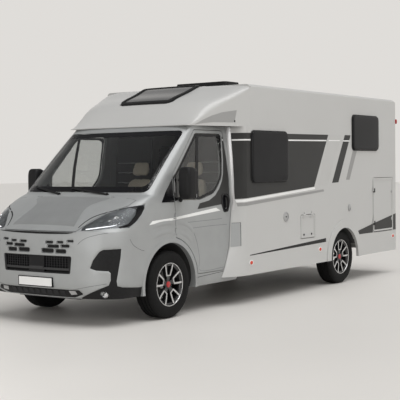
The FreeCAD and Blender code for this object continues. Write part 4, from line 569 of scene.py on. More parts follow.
def add_shell(bm, high, low):
    """A thin closed sheet between two grids of places."""
    top = [[bm.verts.new(p) for p in row] for row in high]
    base = [[bm.verts.new(p) for p in row] for row in low]
    rows, columns = len(top), len(top[0])
    for i in range(rows - 1):
        for j in range(columns - 1):
            bm.faces.new((top[i][j], top[i + 1][j], top[i + 1][j + 1], top[i][j + 1]))
            bm.faces.new((base[i][j], base[i][j + 1], base[i + 1][j + 1], base[i + 1][j]))
    rim = [(i, 0) for i in range(rows)] + [(rows - 1, j) for j in range(1, columns)]
    rim += [(i, columns - 1) for i in range(rows - 2, -1, -1)] + [(0, j) for j in range(columns - 2, 0, -1)]
    for (a, b), (c, d) in zip(rim, rim[1:] + rim[:1]):
        bm.faces.new((top[a][b], base[a][b], base[c][d], top[c][d]))


def add_fold(bm, path, skin, view, profile, fade=0.08, sink=0.0015):
    """A soft fold along a flat path: profile gives (distance to the path's left, height) across it."""
    axes = view_axes(view)
    run = [0.0]
    for a, b in zip(path, path[1:]):
        run.append(run[-1] + (Vector(b) - Vector(a)).length)
    high = []
    low = []
    for point, left, gone in zip(path, sideways(path), run):
        share = min(1.0, gone / fade, (run[-1] - gone) / fade)
        share = share * share * (3 - 2 * share)
        top = []
        base = []
        for distance, height in profile:
            u, v = Vector(point) + left * distance
            hit = skin.under(axes, u, v)
            top.append(hit - axes[2] * (height * share))
            base.append(hit + axes[2] * sink)
        high.append(top)
        low.append(base)
    add_shell(bm, high, low)


# Repeats, by Geometry Nodes

def repeat_tree(name):
    """A tree that repeats a shape round the level axle, turned by one more step each time."""
    tree = bpy.data.node_groups.new(name, "GeometryNodeTree")
    face = tree.interface
    face.new_socket("Geometry", in_out="INPUT", socket_type="NodeSocketGeometry")
    face.new_socket("Count", in_out="INPUT", socket_type="NodeSocketInt").default_value = 8
    face.new_socket("Step", in_out="INPUT", socket_type="NodeSocketVector")
    face.new_socket("Finish", in_out="INPUT", socket_type="NodeSocketMaterial")
    face.new_socket("Geometry", in_out="OUTPUT", socket_type="NodeSocketGeometry")
    add = tree.nodes.new
    source = add("NodeGroupInput")
    target = add("NodeGroupOutput")
    line = add("GeometryNodeMeshLine")
    line.mode = "OFFSET"
    spread = add("GeometryNodeInstanceOnPoints")
    real = add("GeometryNodeRealizeInstances")
    coat = add("GeometryNodeSetMaterial")
    join = tree.links.new
    join(source.outputs["Count"], line.inputs["Count"])
    line.inputs["Offset"].default_value = (0, 0, 0)
    index = add("GeometryNodeInputIndex")
    turn = add("ShaderNodeVectorMath")
    turn.operation = "SCALE"
    join(source.outputs["Step"], turn.inputs[0])
    join(index.outputs["Index"], turn.inputs["Scale"])
    join(turn.outputs["Vector"], spread.inputs["Rotation"])
    join(line.outputs["Mesh"], spread.inputs["Points"])
    join(source.outputs["Geometry"], spread.inputs["Instance"])
    join(spread.outputs["Instances"], real.inputs["Geometry"])
    join(real.outputs["Geometry"], coat.inputs["Geometry"])
    join(source.outputs["Finish"], coat.inputs["Material"])
    join(coat.outputs["Geometry"], target.inputs["Geometry"])
    return tree


def repeated(bm, finish_name, count, centre):
    """A plain mesh of the shape in bm, repeated round the level axle and moved to its centre."""
    key = "round_the_axle"
    tree = bpy.data.node_groups.get(key) or repeat_tree(key)
    bmesh.ops.recalc_face_normals(bm, faces=bm.faces)
    mesh = bpy.data.meshes.new("one")
    bm.to_mesh(mesh)
    bm.free()
    source = link(bpy.data.objects.new("one", mesh))
    modifier = source.modifiers.new("repeat", "NODES")
    modifier.node_group = tree
    sockets = {s.name: s.identifier for s in tree.interface.items_tree if s.in_out == "INPUT"}
    modifier[sockets["Count"]] = count
    modifier[sockets["Step"]] = (0, math.tau / count, 0)
    modifier[sockets["Finish"]] = FINISH[finish_name]
    graph = bpy.context.evaluated_depsgraph_get()
    graph.update()
    result = bpy.data.meshes.new_from_object(source.evaluated_get(graph), depsgraph=graph)
    source.modifiers.remove(modifier)
    bpy.data.objects.remove(source)
    result.transform(Matrix.Translation(centre))
    return result


# Stage

FLOOR_SIZE = 80.0
# Name, kind, place, target and size of each light; the sun's size is an angle
LIGHTS = (
    ("sky_light", "SUN", (0.5, 3.5, 9.0), (0, 0, 0), math.radians(55.0)),
    ("side_light", "AREA", (5.0, 11.0, 6.5), (0.5, 0, 1.0), 6.0),
    ("low_light", "AREA", (8.2, 0.8, 2.0), (3.3, 0.1, 0.5), 3.0),
)
# Place on the level ramp and colour of the surrounding light, low down and overhead
SURROUND = ((0.30, (0.95, 0.925, 0.89, 1)), (0.62, (0.24, 0.24, 0.245, 1)))
# The photograph's camera, solved from its points: place from the front axle, and angles in radians
CAMERA_PLACE = (9.07704937, 7.87914176, 1.72158805)
CAMERA_YAW = 3.7582183
CAMERA_PITCH = -0.03302023
CAMERA_ROLL = -0.01165538
SENSOR_WIDTH = 36.0
CLIP_END = 500.0


class MOTORHOME_OT_stage(bpy.types.Operator):
    """Make the floor, the soft lights and the camera"""
    bl_idname = "motorhome.stage"
    bl_label = "Stage"

    def execute(self, context):
        settings = context.scene.motorhome_stage
        make_finishes(context.scene.motorhome_paint)
        tone = tuple(settings.floor_colour)
        finish("floor_finish", tone, shade(tone, 0.97), 0.4, 0.5)
        bm = bmesh.new()
        bmesh.ops.create_grid(bm, x_segments=1, y_segments=1, size=FLOOR_SIZE)
        mesh = bpy.data.meshes.new("studio_floor")
        bm.to_mesh(mesh)
        bm.free()
        mesh.materials.append(FINISH["floor_finish"])
        link(bpy.data.objects.new("studio_floor", mesh))
        world = context.scene.world or bpy.data.worlds.new("studio_world")
        context.scene.world = world
        world.use_nodes = True
        self.make_surround(world.node_tree, settings.surround)
        context.scene.view_settings.view_transform = "Standard"
        powers = (settings.sky_power, settings.side_power, settings.low_power)
        for (name, kind, place, target, size), power in zip(LIGHTS, powers):
            data = bpy.data.lights.new(name, kind)
            data.energy = power
            if kind == "SUN":
                data.angle = size
            else:
                data.size = size
            light = link(bpy.data.objects.new(name, data))
            light.visible_camera = False
            light.location = place
            light.rotation_euler = (Vector(target) - Vector(place)).to_track_quat("-Z", "Y").to_euler()
        set_camera(settings.lens)
        return {"FINISHED"}

    def make_surround(self, tree, strength):
        """An even surrounding light, pale low down and dim overhead."""
        back = tree.nodes["Background"]
        back.inputs["Strength"].default_value = strength
        place = tree.nodes.new("ShaderNodeTexCoord")
        split = tree.nodes.new("ShaderNodeSeparateXYZ")
        ramp = tree.nodes.new("ShaderNodeValToRGB")
        for element, (position, colour) in zip(ramp.color_ramp.elements, SURROUND):
            element.position = position
            element.color = colour
        tree.links.new(place.outputs["Generated"], split.inputs["Vector"])
        tree.links.new(split.outputs["Z"], ramp.inputs["Fac"])
        tree.links.new(ramp.outputs["Color"], back.inputs["Color"])


def set_camera(lens):
    """The camera at the photograph's place and angle."""
    yaw, pitch, roll = CAMERA_YAW, CAMERA_PITCH, CAMERA_ROLL
    ahead = Vector((math.cos(pitch) * math.cos(yaw), math.cos(pitch) * math.sin(yaw), math.sin(pitch)))
    right = Vector((math.sin(yaw), -math.cos(yaw), 0))
    up = right.cross(ahead)
    turned_right = right * math.cos(roll) + up * math.sin(roll)
    turned_up = up * math.cos(roll) - right * math.sin(roll)
    data = bpy.data.cameras.new("photo_camera")
    data.sensor_width = SENSOR_WIDTH
    data.lens = lens
    data.clip_end = CLIP_END
    camera = link(bpy.data.objects.new("photo_camera", data))
    turn = Matrix((turned_right, turned_up, -ahead)).transposed()
    x, y, z = CAMERA_PLACE
    camera.matrix_world = Matrix.Translation((at(x), y, z)) @ turn.to_4x4()
    bpy.context.scene.camera = camera


# Bodywork

# The finish of each material slot, of the nodes that differ from theirs, and the nodes shown by a smooth copy
SLOT_FINISH = {
    "cab_paint": "silver_paint", "coach_paint": "coach_paint", "glass": "cab_glass", "tinted": "tinted_glass",
    "black_plastic": "black_plastic", "lamp_reflector": "lamp_chrome", "mirror": "mirror_glass",
    "trim": "black_plastic", "marker": "marker_red", "lamp_red": "lamp_red", "steel": "steel", "engine": "engine_grey",
    "board": "oak_board", "cloth": "cream_cloth", "tyre": "tyre_rubber", "alloy": "wheel_black",
}
NODE_FINISH = {
    "headlamp_lenses": "lamp_lens", "headlamp_housings": "lamp_shade", "roof_windows": "roof_dome",
    "cab_floor": "skirt_underside", "coach_floor": "floor_board", "dashboard": "dash_plastic",
    "wheel_housings": "skirt_underside", "plates": "gloss_black",
}
SMOOTHED = (
    "cab_shell", "cab_glass", "headlamp_lenses", "headlamp_housings", "front_bumper", "grille", "fog_lamps", "wipers",
    "bonnet", "door_left", "door_right", "door_glass_left", "door_glass_right", "overcab_cap", "coach_wall_left",
    "coach_wall_right", "coach_rear_wall", "coach_roof", "side_skirts", "rear_bumper", "dashboard", "entrance_door",
    "garage_door_left", "garage_door_right", "service_hatch", "wheel_arch_trims",
)
# The nose's mouth, where the plain slats make way for drawn ones: half width, and height from and to
MOUTH = (0.53, 0.575, 0.79)


class MOTORHOME_OT_bodywork(bpy.types.Operator):
    """Finish every carried-over node, and smooth the shading of the curved panels"""
    bl_idname = "motorhome.bodywork"
    bl_label = "Bodywork"

    def execute(self, context):
        record = frame["record"]
        body_of = {n: b for b, nodes in record["behaviour"]["bodies"].items() for n in nodes}
        for part in record["subparts"]:
            name = part["node"]
            slot = part["material_slot"]
            kind = NODE_FINISH.get(name, SLOT_FINISH[slot])
            node = frame["nodes"][name]
            node.data.materials.clear()
            node.data.materials.append(FINISH[kind])
            if name in SMOOTHED:
                bm = bmesh.new()
                bm.from_mesh(node.data)
                bmesh.ops.remove_doubles(bm, verts=bm.verts, dist=0.00002)
                mesh = bpy.data.meshes.new("smooth_" + name)
                if name == "grille":
                    half, low, high = MOUTH
                    middles = [(f, f.calc_center_median()) for f in bm.faces]
                    slats = [f for f, middle in middles if abs(middle.y) < half and low < middle.z < high]
                    bmesh.ops.delete(bm, geom=slats, context="FACES")
                bm.to_mesh(mesh)
                bm.free()
                piece = placed(mesh, "smooth_" + name, kind, body_of[name], 28.0, (name,))
                even = piece.modifiers.new("even_shading", "WEIGHTED_NORMAL")
                even.keep_sharp = True
                even.weight = 80
        return {"FINISHED"}


# Markings

# Outlines in side view, (x from the front axle, z)
BAND = [(-1.298, 1.318), (-3.133, 1.430), (-3.554, 2.154), (-1.309, 2.137), (-1.309, 1.560), (-1.303, 1.417)]
BAND_LINE = [(-1.310, 2.041), (-3.489, 2.062), (-3.500, 2.080), (-1.310, 2.059)]
LIGHT_STRIP = [(-3.243, 1.445), (-3.523, 1.439), (-3.963, 2.162), (-3.592, 2.154)]
LIGHT_STRIP_LINE = [(-3.560, 2.066), (-3.900, 2.070), (-3.909, 2.084), (-3.568, 2.080)]
DARK_STRIP = [(-3.658, 1.472), (-3.853, 1.477), (-4.246, 2.160), (-4.063, 2.160)]
DARK_STRIP_LINE = [(-4.000, 2.066), (-4.200, 2.068), (-4.210, 2.084), (-4.010, 2.082)]
MID_STRIP = [(-4.094, 1.510), (-4.204, 1.508), (-4.460, 1.955), (-4.326, 1.954)]
WHITE_EDGE = [(-1.305, 1.276), (-3.160, 1.395), (-3.145, 1.424), (-1.300, 1.308)]
GREY_BAND = [(-1.310, 1.226), (-3.420, 1.357), (-3.400, 1.388), (-1.305, 1.268)]
LOW_STRIPE = [(-1.470, 0.606), (-3.465, 0.644), (-3.465, 0.698), (-1.470, 0.616)]
REAR_STRIPE = [(-4.500, 0.686), (-5.862, 0.686), (-5.862, 0.951), (-4.990, 0.824), (-4.475, 0.742)]
GARAGE_STRIPE = [(-5.704, 0.691), (-4.986, 0.691), (-4.986, 0.8235), (-5.704, 0.928)]
CAB_LINE = [(0.378, 1.085), (-0.063, 1.117), (-1.027, 1.188), (-0.935, 1.225), (-0.055, 1.144), (0.317, 1.126)]
DOOR_DECAL = [(-0.548, 1.222), (-1.049, 1.262), (-1.180, 1.272), (-1.250, 1.275), (-1.262, 1.560), (-1.238, 1.800),
              (-1.214, 1.990), (-1.200, 2.090), (-1.186, 2.085), (-1.178, 1.990), (-1.168, 1.800), (-1.145, 1.640),
              (-1.110, 1.545), (-1.045, 1.455), (-0.945, 1.375), (-0.800, 1.318), (-0.600, 1.290)]
DOOR_LINE = [(-1.207, 2.044), (-1.186, 2.044), (-1.184, 2.060), (-1.205, 2.060)]
SILVER_BLOCK = [(-1.240, 1.022), (-1.318, 1.025), (-1.310, 0.737), (-1.207, 0.728)]
# Painted shadow along the silver block's top and rear edges
BLOCK_SHADOW = [(-1.318, 1.025), (-1.310, 0.737), (-1.3145, 0.737), (-1.3225, 1.0285), (-1.240, 1.0255), (-1.240, 1.022)]
JOINT_STRIP = [(-1.2915, 2.212), (-1.2915, 1.560), (-1.2855, 1.417), (-1.2755, 1.270), (-1.262, 1.180), (-1.277, 1.180),
               (-1.291, 1.270), (-1.301, 1.417), (-1.307, 1.560), (-1.307, 2.212)]

# Openings in side view: x from, x to, z from, z to
FRONT_WINDOW = (-2.380, -1.535, 1.538, 2.145)
REAR_WINDOW = (-5.135, -4.310, 1.965, 2.438)
GARAGE = (-5.705, -4.985, 0.690, 1.520)
SERVICE = (-3.145, -2.750, 0.735, 1.050)
ENTRANCE = (-3.070, -2.470, 0.645, 2.400)
ENTRANCE_PANE = (-2.930, -2.610, 1.560, 2.020)


def along(points):
    """Side-view points from the front axle, in the frame."""
    return [(at(x), z) for x, z in points]


def area(values, grow=0.0):
    """A side-view rectangle from the front axle, in the frame."""
    x0, x1, z0, z1 = values
    return grown((at(x0), at(x1), z0, z1), grow)


# Where the walls bend: at the flare behind the cab, along the band's height and at the low stripe
FLARE_CUTS = [at(-1.300 - 0.012 * i) for i in range(11)]
HEIGHT_CUTS = [1.417, 1.56, 1.816]
LOW_CUT = 0.6205
REAR_CUTS = [at(x) for x in (-5.80, -5.82, -5.84, -5.85)]
# Name, finish, outlines, cells and lift of each coach wall's markings
WALL_MARKINGS = (
    ("band", "band_film", (BAND,), (FLARE_CUTS, HEIGHT_CUTS), FILM),
    ("strip_light", "light_film", (LIGHT_STRIP,), (None, None), FILM),
    ("strip_dark", "band_film", (DARK_STRIP,), (None, None), FILM),
    ("strip_mid", "grey_film", (MID_STRIP,), (None, None), FILM),
    ("white_lines", "pale_film", (BAND_LINE, LIGHT_STRIP_LINE, DARK_STRIP_LINE, WHITE_EDGE), (FLARE_CUTS, None), LINE),
    ("grey_band", "grey_film", (GREY_BAND,), (FLARE_CUTS, None), FILM),
)


def lay(name, kind, outlines, skin, side, body, cells=(None, None), keep=None, leave=(), lift=FILM):
    """A marking on one side of the vehicle, as its own piece."""
    bm = bmesh.new()
    laid_on(bm, outlines, skin, "left" if side == LEFT else "right", cells, keep, leave, lift)
    return finished(bm, name, kind, body)


def lay_on_corner(name, kind, outlines, skin, side, body, cells=(0.03, 0.03), lift=FILM, sink=0.0006):
    """A marking on one front corner of the vehicle, as its own piece."""
    bm = bmesh.new()
    laid_on(bm, outlines, skin, ("left" if side == LEFT else "right") + "_corner", cells, None, (), lift, sink)
    return finished(bm, name, kind, body)


class MOTORHOME_OT_markings(bpy.types.Operator):
    """Lay the bands, lines and strips on the bodywork"""
    bl_idname = "motorhome.markings"
    bl_label = "Markings"

    def execute(self, context):
        for name, side in SIDES:
            self.mark_coach(name, side)
            self.mark_cab(name, side)
            self.mark_joint(name, side)
        self.mark_entrance()
        return {"FINISHED"}

    def mark_coach(self, name, side):
        """Bands and stripes of one coach wall, clear of its windows and flaps."""
        wall = Skin("coach_wall_" + name)
        garage = area(GARAGE, 0.009)
        holes = [area(FRONT_WINDOW, 0.012), area(REAR_WINDOW, 0.012), garage,
                 area(ENTRANCE if side == RIGHT else SERVICE, 0.009)]
        for label, kind, outlines, cells, lift in WALL_MARKINGS:
            lay(f"{label}_{name}", kind, [along(line) for line in outlines], wall, side, "body", cells, None, holes,
                lift)
        lay("low_stripe_" + name, "gloss_black", [along(LOW_STRIPE)], Skin("coach_wall_" + name, "side_skirts"), side,
            "body", (None, [LOW_CUT]), None, holes)
        lay("rear_stripe_" + name, "band_film", [along(REAR_STRIPE)], Skin("coach_wall_" + name, "coach_rear_wall"),
            side, "body", (REAR_CUTS, None), None, [garage])
        lay("garage_stripe_" + name, "band_film", [rounded(along(GARAGE_STRIPE), [0.064, 0.064, 0, 0])],
            Skin("garage_door_" + name), side, "garage_flap_" + name)

    def mark_cab(self, name, side):
        """The pale line along the cab, cut at the door's seam, and the dark film round the door window."""
        shell = Skin("cab_shell")
        door = Skin("door_" + name)
        body = "cab_door_" + name
        seam = at(-0.115)
        front = (seam + 0.008, 9.0, 0.0, 3.0)
        rear = (at(-1.27), seam - 0.002, 0.0, 3.0)
        lay("cab_line_front_" + name, "pale_film", [along(CAB_LINE)], shell, side, "body", (0.05, None), front)
        lay("cab_line_rear_" + name, "pale_film", [along(CAB_LINE)], door, side, body, (0.1, None), rear)
        lay("door_decal_" + name, "band_film", [along(DOOR_DECAL)], door, side, body, (0.1, 0.08))
        lay("door_line_" + name, "pale_film", [along(DOOR_LINE)], door, side, body, lift=LINE)

    def mark_joint(self, name, side):
        """The silver block, a strip of painted shadow along its top and rear edges, and the strip where the cab meets
        the coach.
        """
        wall = Skin("coach_wall_" + name)
        for label, kind, outline, lift in (
                ("side_block", "silver_paint", SILVER_BLOCK, 0.003),
                # A deep black strip of painted shadow in the block's notch
                ("side_block_shadow", "deep_black", BLOCK_SHADOW, 0.0035),
                ("joint_strip", "aluminium", JOINT_STRIP, 0.004)):
            lay(f"{label}_{name}", kind, [along(outline)], wall, side, "body", (0.02, 0.04), lift=lift)

    def mark_entrance(self):
        """The bands where they run across the living door."""
        door = Skin("entrance_door")
        keep = area(ENTRANCE, -0.001)
        pane = [area(ENTRANCE_PANE, 0.03)]
        for label, kind, outline, leave, lift in (
                ("band", "band_film", BAND, pane, FILM),
                ("white_line", "pale_film", BAND_LINE, pane, LINE),
                ("white_edge", "pale_film", WHITE_EDGE, pane, LINE),
                ("grey_band", "grey_film", GREY_BAND, (), FILM)):
            lay(label + "_entrance", kind, [along(outline)], door, RIGHT, "living_door", keep=keep, leave=leave,
                lift=lift)


# Wheels

# Profiles as (distance out from the wheel's middle, radius)
TYRE_PROFILE = [
    (0.094, 0.236), (0.101, 0.241), (0.1075, 0.250), (0.1130, 0.262), (0.1165, 0.280), (0.1178, 0.303),
    (0.1166, 0.325), (0.1138, 0.345), (0.1085, 0.361), (0.1010, 0.373), (0.0915, 0.3805), (0.082, 0.3835),
    (0.0735, 0.3850), (0.0725, 0.3780), (0.0640, 0.3780), (0.0630, 0.3860), (0.0310, 0.3870), (0.0300, 0.3790),
    (0.0200, 0.3790), (0.0190, 0.3870),
]
LUG_PROFILE = [(0.0750, 0.3790), (0.0890, 0.3770), (0.1060, 0.3640), (0.1075, 0.3665), (0.0905, 0.3822),
               (0.0750, 0.3862)]
RIM_PROFILE = [
    (0.1045, 0.2470), (0.1065, 0.2455), (0.1070, 0.2400), (0.1030, 0.2365), (0.0960, 0.2300), (0.0900, 0.2140),
    (0.0780, 0.2080), (-0.0500, 0.2050), (-0.0920, 0.2150), (-0.0950, 0.2430), (-0.0990, 0.2430), (-0.0990, 0.2350),
    (0.0900, 0.2345), (0.1000, 0.2400),
]
LIP_PROFILE = [(0.1060, 0.2490), (0.1088, 0.2475), (0.1088, 0.2405), (0.1050, 0.2385), (0.1040, 0.2440)]
HUB_PROFILE = [(0.048, 0.000), (0.048, 0.062), (0.078, 0.060), (0.083, 0.054), (0.083, 0.037), (0.083, 0.000)]
CAP_PROFILE = [(0.080, 0.000), (0.080, 0.036), (0.088, 0.0345), (0.0905, 0.030), (0.0920, 0.000)]
DISC_PROFILE = [(-0.020, 0.060), (-0.020, 0.150), (0.002, 0.150), (0.002, 0.060)]
SPOKE_BACK = 0.050
LUGS = 96
SPOKES = 5
BOLTS = 5
# Plates of one forked spoke, (across, radius)
DARK_PLATES = ([(-0.021, 0.050), (0.021, 0.050), (0.031, 0.094), (-0.031, 0.094)],
               [(-0.040, 0.092), (0.040, 0.092), (0.041, 0.113), (-0.041, 0.113)])
BRIGHT_PLATES = ([(-0.035, 0.096), (0.035, 0.096), (0.037, 0.108), (-0.037, 0.108)],)


def face_height(radius):
    """How far out the spokes' face stands at a radius."""
    share = max(0.0, min(1.0, (radius - 0.06) / 0.18))
    return 0.080 + 0.020 * share ** 0.7


def add_spoke_plate(bm, outline, side, top_lift, back=None):
    """A plate in the wheel's face: outline as (across, radius) round 12 o'clock."""
    high = []
    low = []
    for u, v in outline:
        radius = math.hypot(u, v)
        y = face_height(radius) + top_lift
        high.append(bm.verts.new((u, side * y, v)))
        low.append(bm.verts.new((u, side * (SPOKE_BACK if back is None else y - back), v)))
    join_block(bm, high, low)


def leg_outline(way, half_low, half_high):
    """One leg of a forked spoke, from the bar near the hub out to the rim."""
    low = Vector((way * 0.0295, 0.099))
    high = Vector((way * 0.0680, 0.2290))
    middle = (low + high) / 2 + Vector((way * 0.002, 0))
    run = (high - low).normalized()
    across = Vector((run.y, -run.x)) * way
    stations = [(low, half_low), (middle, (half_low + half_high) / 2), (high, half_high)]
    return ([tuple(place - across * half) for place, half in stations]
            + [tuple(place + across * half) for place, half in reversed(stations)])


def make_wheel(place, x, y, side):
    """Tyre and wheel of one corner."""
    body = "wheel_" + place
    centre = (at(x), side * y, WHEEL_Z)
    bm = bmesh.new()
    right = [(side * a, r) for a, r in TYRE_PROFILE]
    left = [(-side * a, r) for a, r in reversed(TYRE_PROFILE)]
    add_turned(bm, right + left, centre, 72)
    finished(bm, "tyre_" + place + "_skin", "tyre_rubber", body, 30.0, ("tyre_" + place,))
    lug = bmesh.new()
    for way in (1, -1):
        low = [lug.verts.new((-0.0085, way * a, r)) for a, r in LUG_PROFILE]
        high = [lug.verts.new((0.0055 if r > 0.38 else 0.0085, way * a, r)) for a, r in LUG_PROFILE]
        join_block(lug, low, high)
    placed(repeated(lug, "tyre_rubber", LUGS, centre), "tyre_" + place + "_lugs", "tyre_rubber", body)
    bm = bmesh.new()
    add_turned(bm, [(side * a, r) for a, r in RIM_PROFILE], centre, 72)
    add_turned(bm, [(side * a, r) for a, r in HUB_PROFILE], centre, 48, False)
    for i in range(BOLTS):
        t = math.tau * (i + 0.5) / BOLTS
        spot = Vector((centre[0] + 0.049 * math.sin(t), centre[1] + side * 0.080, centre[2] + 0.049 * math.cos(t)))
        add_rod(bm, spot, spot + Vector((0, side * 0.010, 0)), 0.0085, 6)
    finished(bm, "rim_" + place + "_barrel", "wheel_black", body, 40.0, ("rim_" + place,), weld=0)
    for label, kind, profile, steps, closed, weld in (
            ("lip", "turned_alloy", LIP_PROFILE, 96, True, WELD),
            ("cap", "cap_red", CAP_PROFILE, 40, False, 0),
            ("disc", "brake_iron", DISC_PROFILE, 64, True, WELD)):
        bm = bmesh.new()
        add_turned(bm, [(side * a, r) for a, r in profile], centre, steps, closed)
        finished(bm, f"rim_{place}_{label}", kind, body, weld=weld)
    for label, kind, plates, halves, plate_lift, leg_lift, back in (
            ("spokes", "wheel_black", DARK_PLATES, (0.0130, 0.0150), 0.0, 0.0, None),
            ("faces", "turned_alloy", BRIGHT_PLATES, (0.0085, 0.0105), 0.0012, 0.0014, 0.004)):
        bm = bmesh.new()
        for outline in plates:
            add_spoke_plate(bm, outline, side, plate_lift, back)
        for way in (1, -1):
            add_spoke_plate(bm, leg_outline(way, *halves), side, leg_lift, back)
        placed(repeated(bm, kind, SPOKES, centre), f"rim_{place}_{label}", kind, body)


class MOTORHOME_OT_wheels(bpy.types.Operator):
    """Make the tyres and the forked wheels"""
    bl_idname = "motorhome.wheels"
    bl_label = "Wheels"

    def execute(self, context):
        for end, x, y in (("front", 0.0, 0.905), ("rear", -4.035, 0.990)):
            for name, side in SIDES:
                make_wheel(end + "_" + name, x, y, side)
        return {"FINISHED"}


# Front

# Slots beside the nose, (y from, y to, middle height, height)
SLOTS = [(0.147, 0.252, 0.919, 0.020), (0.309, 0.395, 0.922, 0.018), (0.449, 0.530, 0.937, 0.015),
         (0.175, 0.339, 0.875, 0.028), (0.369, 0.482, 0.882, 0.024), (0.092, 0.268, 0.826, 0.040),
         (0.296, 0.441, 0.824, 0.038)]
SLOT_FLOOR = 0.016
# The mouth's face runs straight between these heights
FACE_FOOT = 0.566
FACE_TOP = 0.797
FACE_HEIGHT = 0.231
FOG_LAMP = (0.861, 0.366)
FOG_BOWL = [(-0.012, 0.0), (-0.012, 0.036), (0.004, 0.036), (0.006, 0.033), (0.004, 0.030), (0.001, 0.028),
            (0.000, 0.020), (0.003, 0.012), (0.005, 0.0)]
BONNET_GAP = [(-0.600, 1.024), (-0.430, 1.014), (-0.200, 1.008), (0.000, 1.006), (0.200, 1.007), (0.430, 1.012),
              (0.500, 1.022), (0.520, 1.030), (-0.620, 1.030)]
PLATE_FACE = (-0.249, 0.249, 0.436, 0.526)
# Heights of the mouth's slats, and the row of ribs below the plate
GRILLE_SLATS = (0.664, 0.690, 0.716, 0.742)
CHIN_RIBS = 9
CHIN_START = -0.365
CHIN_PITCH = 0.092

# Lamp outlines on the left corner, (x from the front axle, y, z)
LAMP_TOP = [(0.999, 0.535, 1.078), (0.933, 0.560, 1.130), (0.860, 0.600, 1.178), (0.793, 0.655, 1.212),
            (0.736, 0.740, 1.240), (0.656, 0.837, 1.268), (0.583, 0.919, 1.290), (0.500, 0.975, 1.302),
            (0.452, 0.998, 1.302)]
BEZEL = [(0.452, 0.998, 1.306), (0.440, 1.010, 1.278), (0.505, 1.016, 1.208), (0.595, 1.017, 1.143),
         (0.669, 1.013, 1.100), (0.752, 0.998, 1.080), (0.821, 0.971, 1.070), (0.829, 0.953, 1.086),
         (0.778, 0.978, 1.100), (0.718, 0.998, 1.114), (0.664, 1.003, 1.149), (0.602, 1.003, 1.198),
         (0.565, 0.995, 1.243), (0.559, 0.977, 1.274), (0.600, 0.930, 1.284)]
DAYLIGHT = [(1.010, 0.650, 1.062), (0.944, 0.796, 1.083), (0.865, 0.904, 1.099), (0.826, 0.935, 1.110)]
LIGHT_GUIDE = [(0.865, 0.900, 1.100), (0.816, 0.940, 1.114), (0.771, 0.945, 1.149), (0.725, 0.936, 1.195),
               (0.683, 0.930, 1.231), (0.660, 0.925, 1.246)]
DARK_MODULE = [(0.959, 0.703, 1.095), (0.912, 0.760, 1.116), (0.848, 0.785, 1.166), (0.787, 0.804, 1.206),
               (0.738, 0.835, 1.232), (0.682, 0.901, 1.247), (0.762, 0.931, 1.170), (0.821, 0.924, 1.126),
               (0.877, 0.880, 1.106)]
CHROME_END = [(0.650, 0.935, 1.250), (0.614, 0.930, 1.277), (0.563, 0.979, 1.270), (0.586, 0.998, 1.222),
              (0.638, 1.004, 1.165), (0.701, 0.999, 1.125), (0.769, 0.972, 1.110), (0.745, 0.955, 1.160)]
LAMP_GREY = [(1.040, 0.600, 1.055), (0.985, 0.560, 1.090), (0.925, 0.590, 1.132), (0.855, 0.630, 1.178),
             (0.785, 0.680, 1.212), (0.700, 0.790, 1.245), (0.620, 0.890, 1.275), (0.550, 0.970, 1.280),
             (0.575, 0.995, 1.235), (0.650, 1.003, 1.158), (0.715, 0.998, 1.118), (0.775, 0.975, 1.105),
             (0.850, 0.930, 1.090), (0.933, 0.850, 1.072), (1.000, 0.700, 1.054)]
PROJECTORS = [((0.768, 0.880, 1.168), 0.030), ((0.842, 0.850, 1.140), 0.021)]

# Folds and seams of the front corner, (x from the front axle, y, z); the lamp's fold is drawn as a strip of painted
# shade
LAMP_FOLD_SHADE = [(1.077, 0.590, 0.904), (1.061, 0.641, 0.948), (1.039, 0.707, 0.981), (0.994, 0.810, 1.010),
             (0.932, 0.898, 1.028)]
FENDER_SEAM = [(0.714, 1.020, 0.950), (0.663, 1.024, 0.884), (0.560, 1.024, 0.832), (0.474, 1.024, 0.808)]
SHOULDER_PROFILE = [(-0.058, 0.0), (-0.044, 0.003), (-0.028, 0.0065), (-0.012, 0.0085), (-0.003, 0.008),
                    (0.004, 0.004), (0.010, 0.0)]
LOW_SEAM = [(1.100, 0.440, 0.394), (1.080, 0.560, 0.420), (1.010, 0.720, 0.458), (0.919, 0.860, 0.486)]
BONNET_CREASE = [(1.002, 0.483, 1.086), (0.991, 0.479, 1.096), (0.898, 0.455, 1.167), (0.773, 0.420, 1.248),
                 (0.678, 0.428, 1.300), (0.611, 0.482, 1.332), (0.520, 0.581, 1.369), (0.444, 0.663, 1.393),
                 (0.400, 0.720, 1.402)]
# Outline of the painted shade on the bonnet's middle panel, from above, left half
BONNET_SHADE = [(1.000, 0.470), (0.898, 0.450), (0.773, 0.417), (0.678, 0.424), (0.611, 0.482), (0.540, 0.555),
                (0.480, 0.625)]


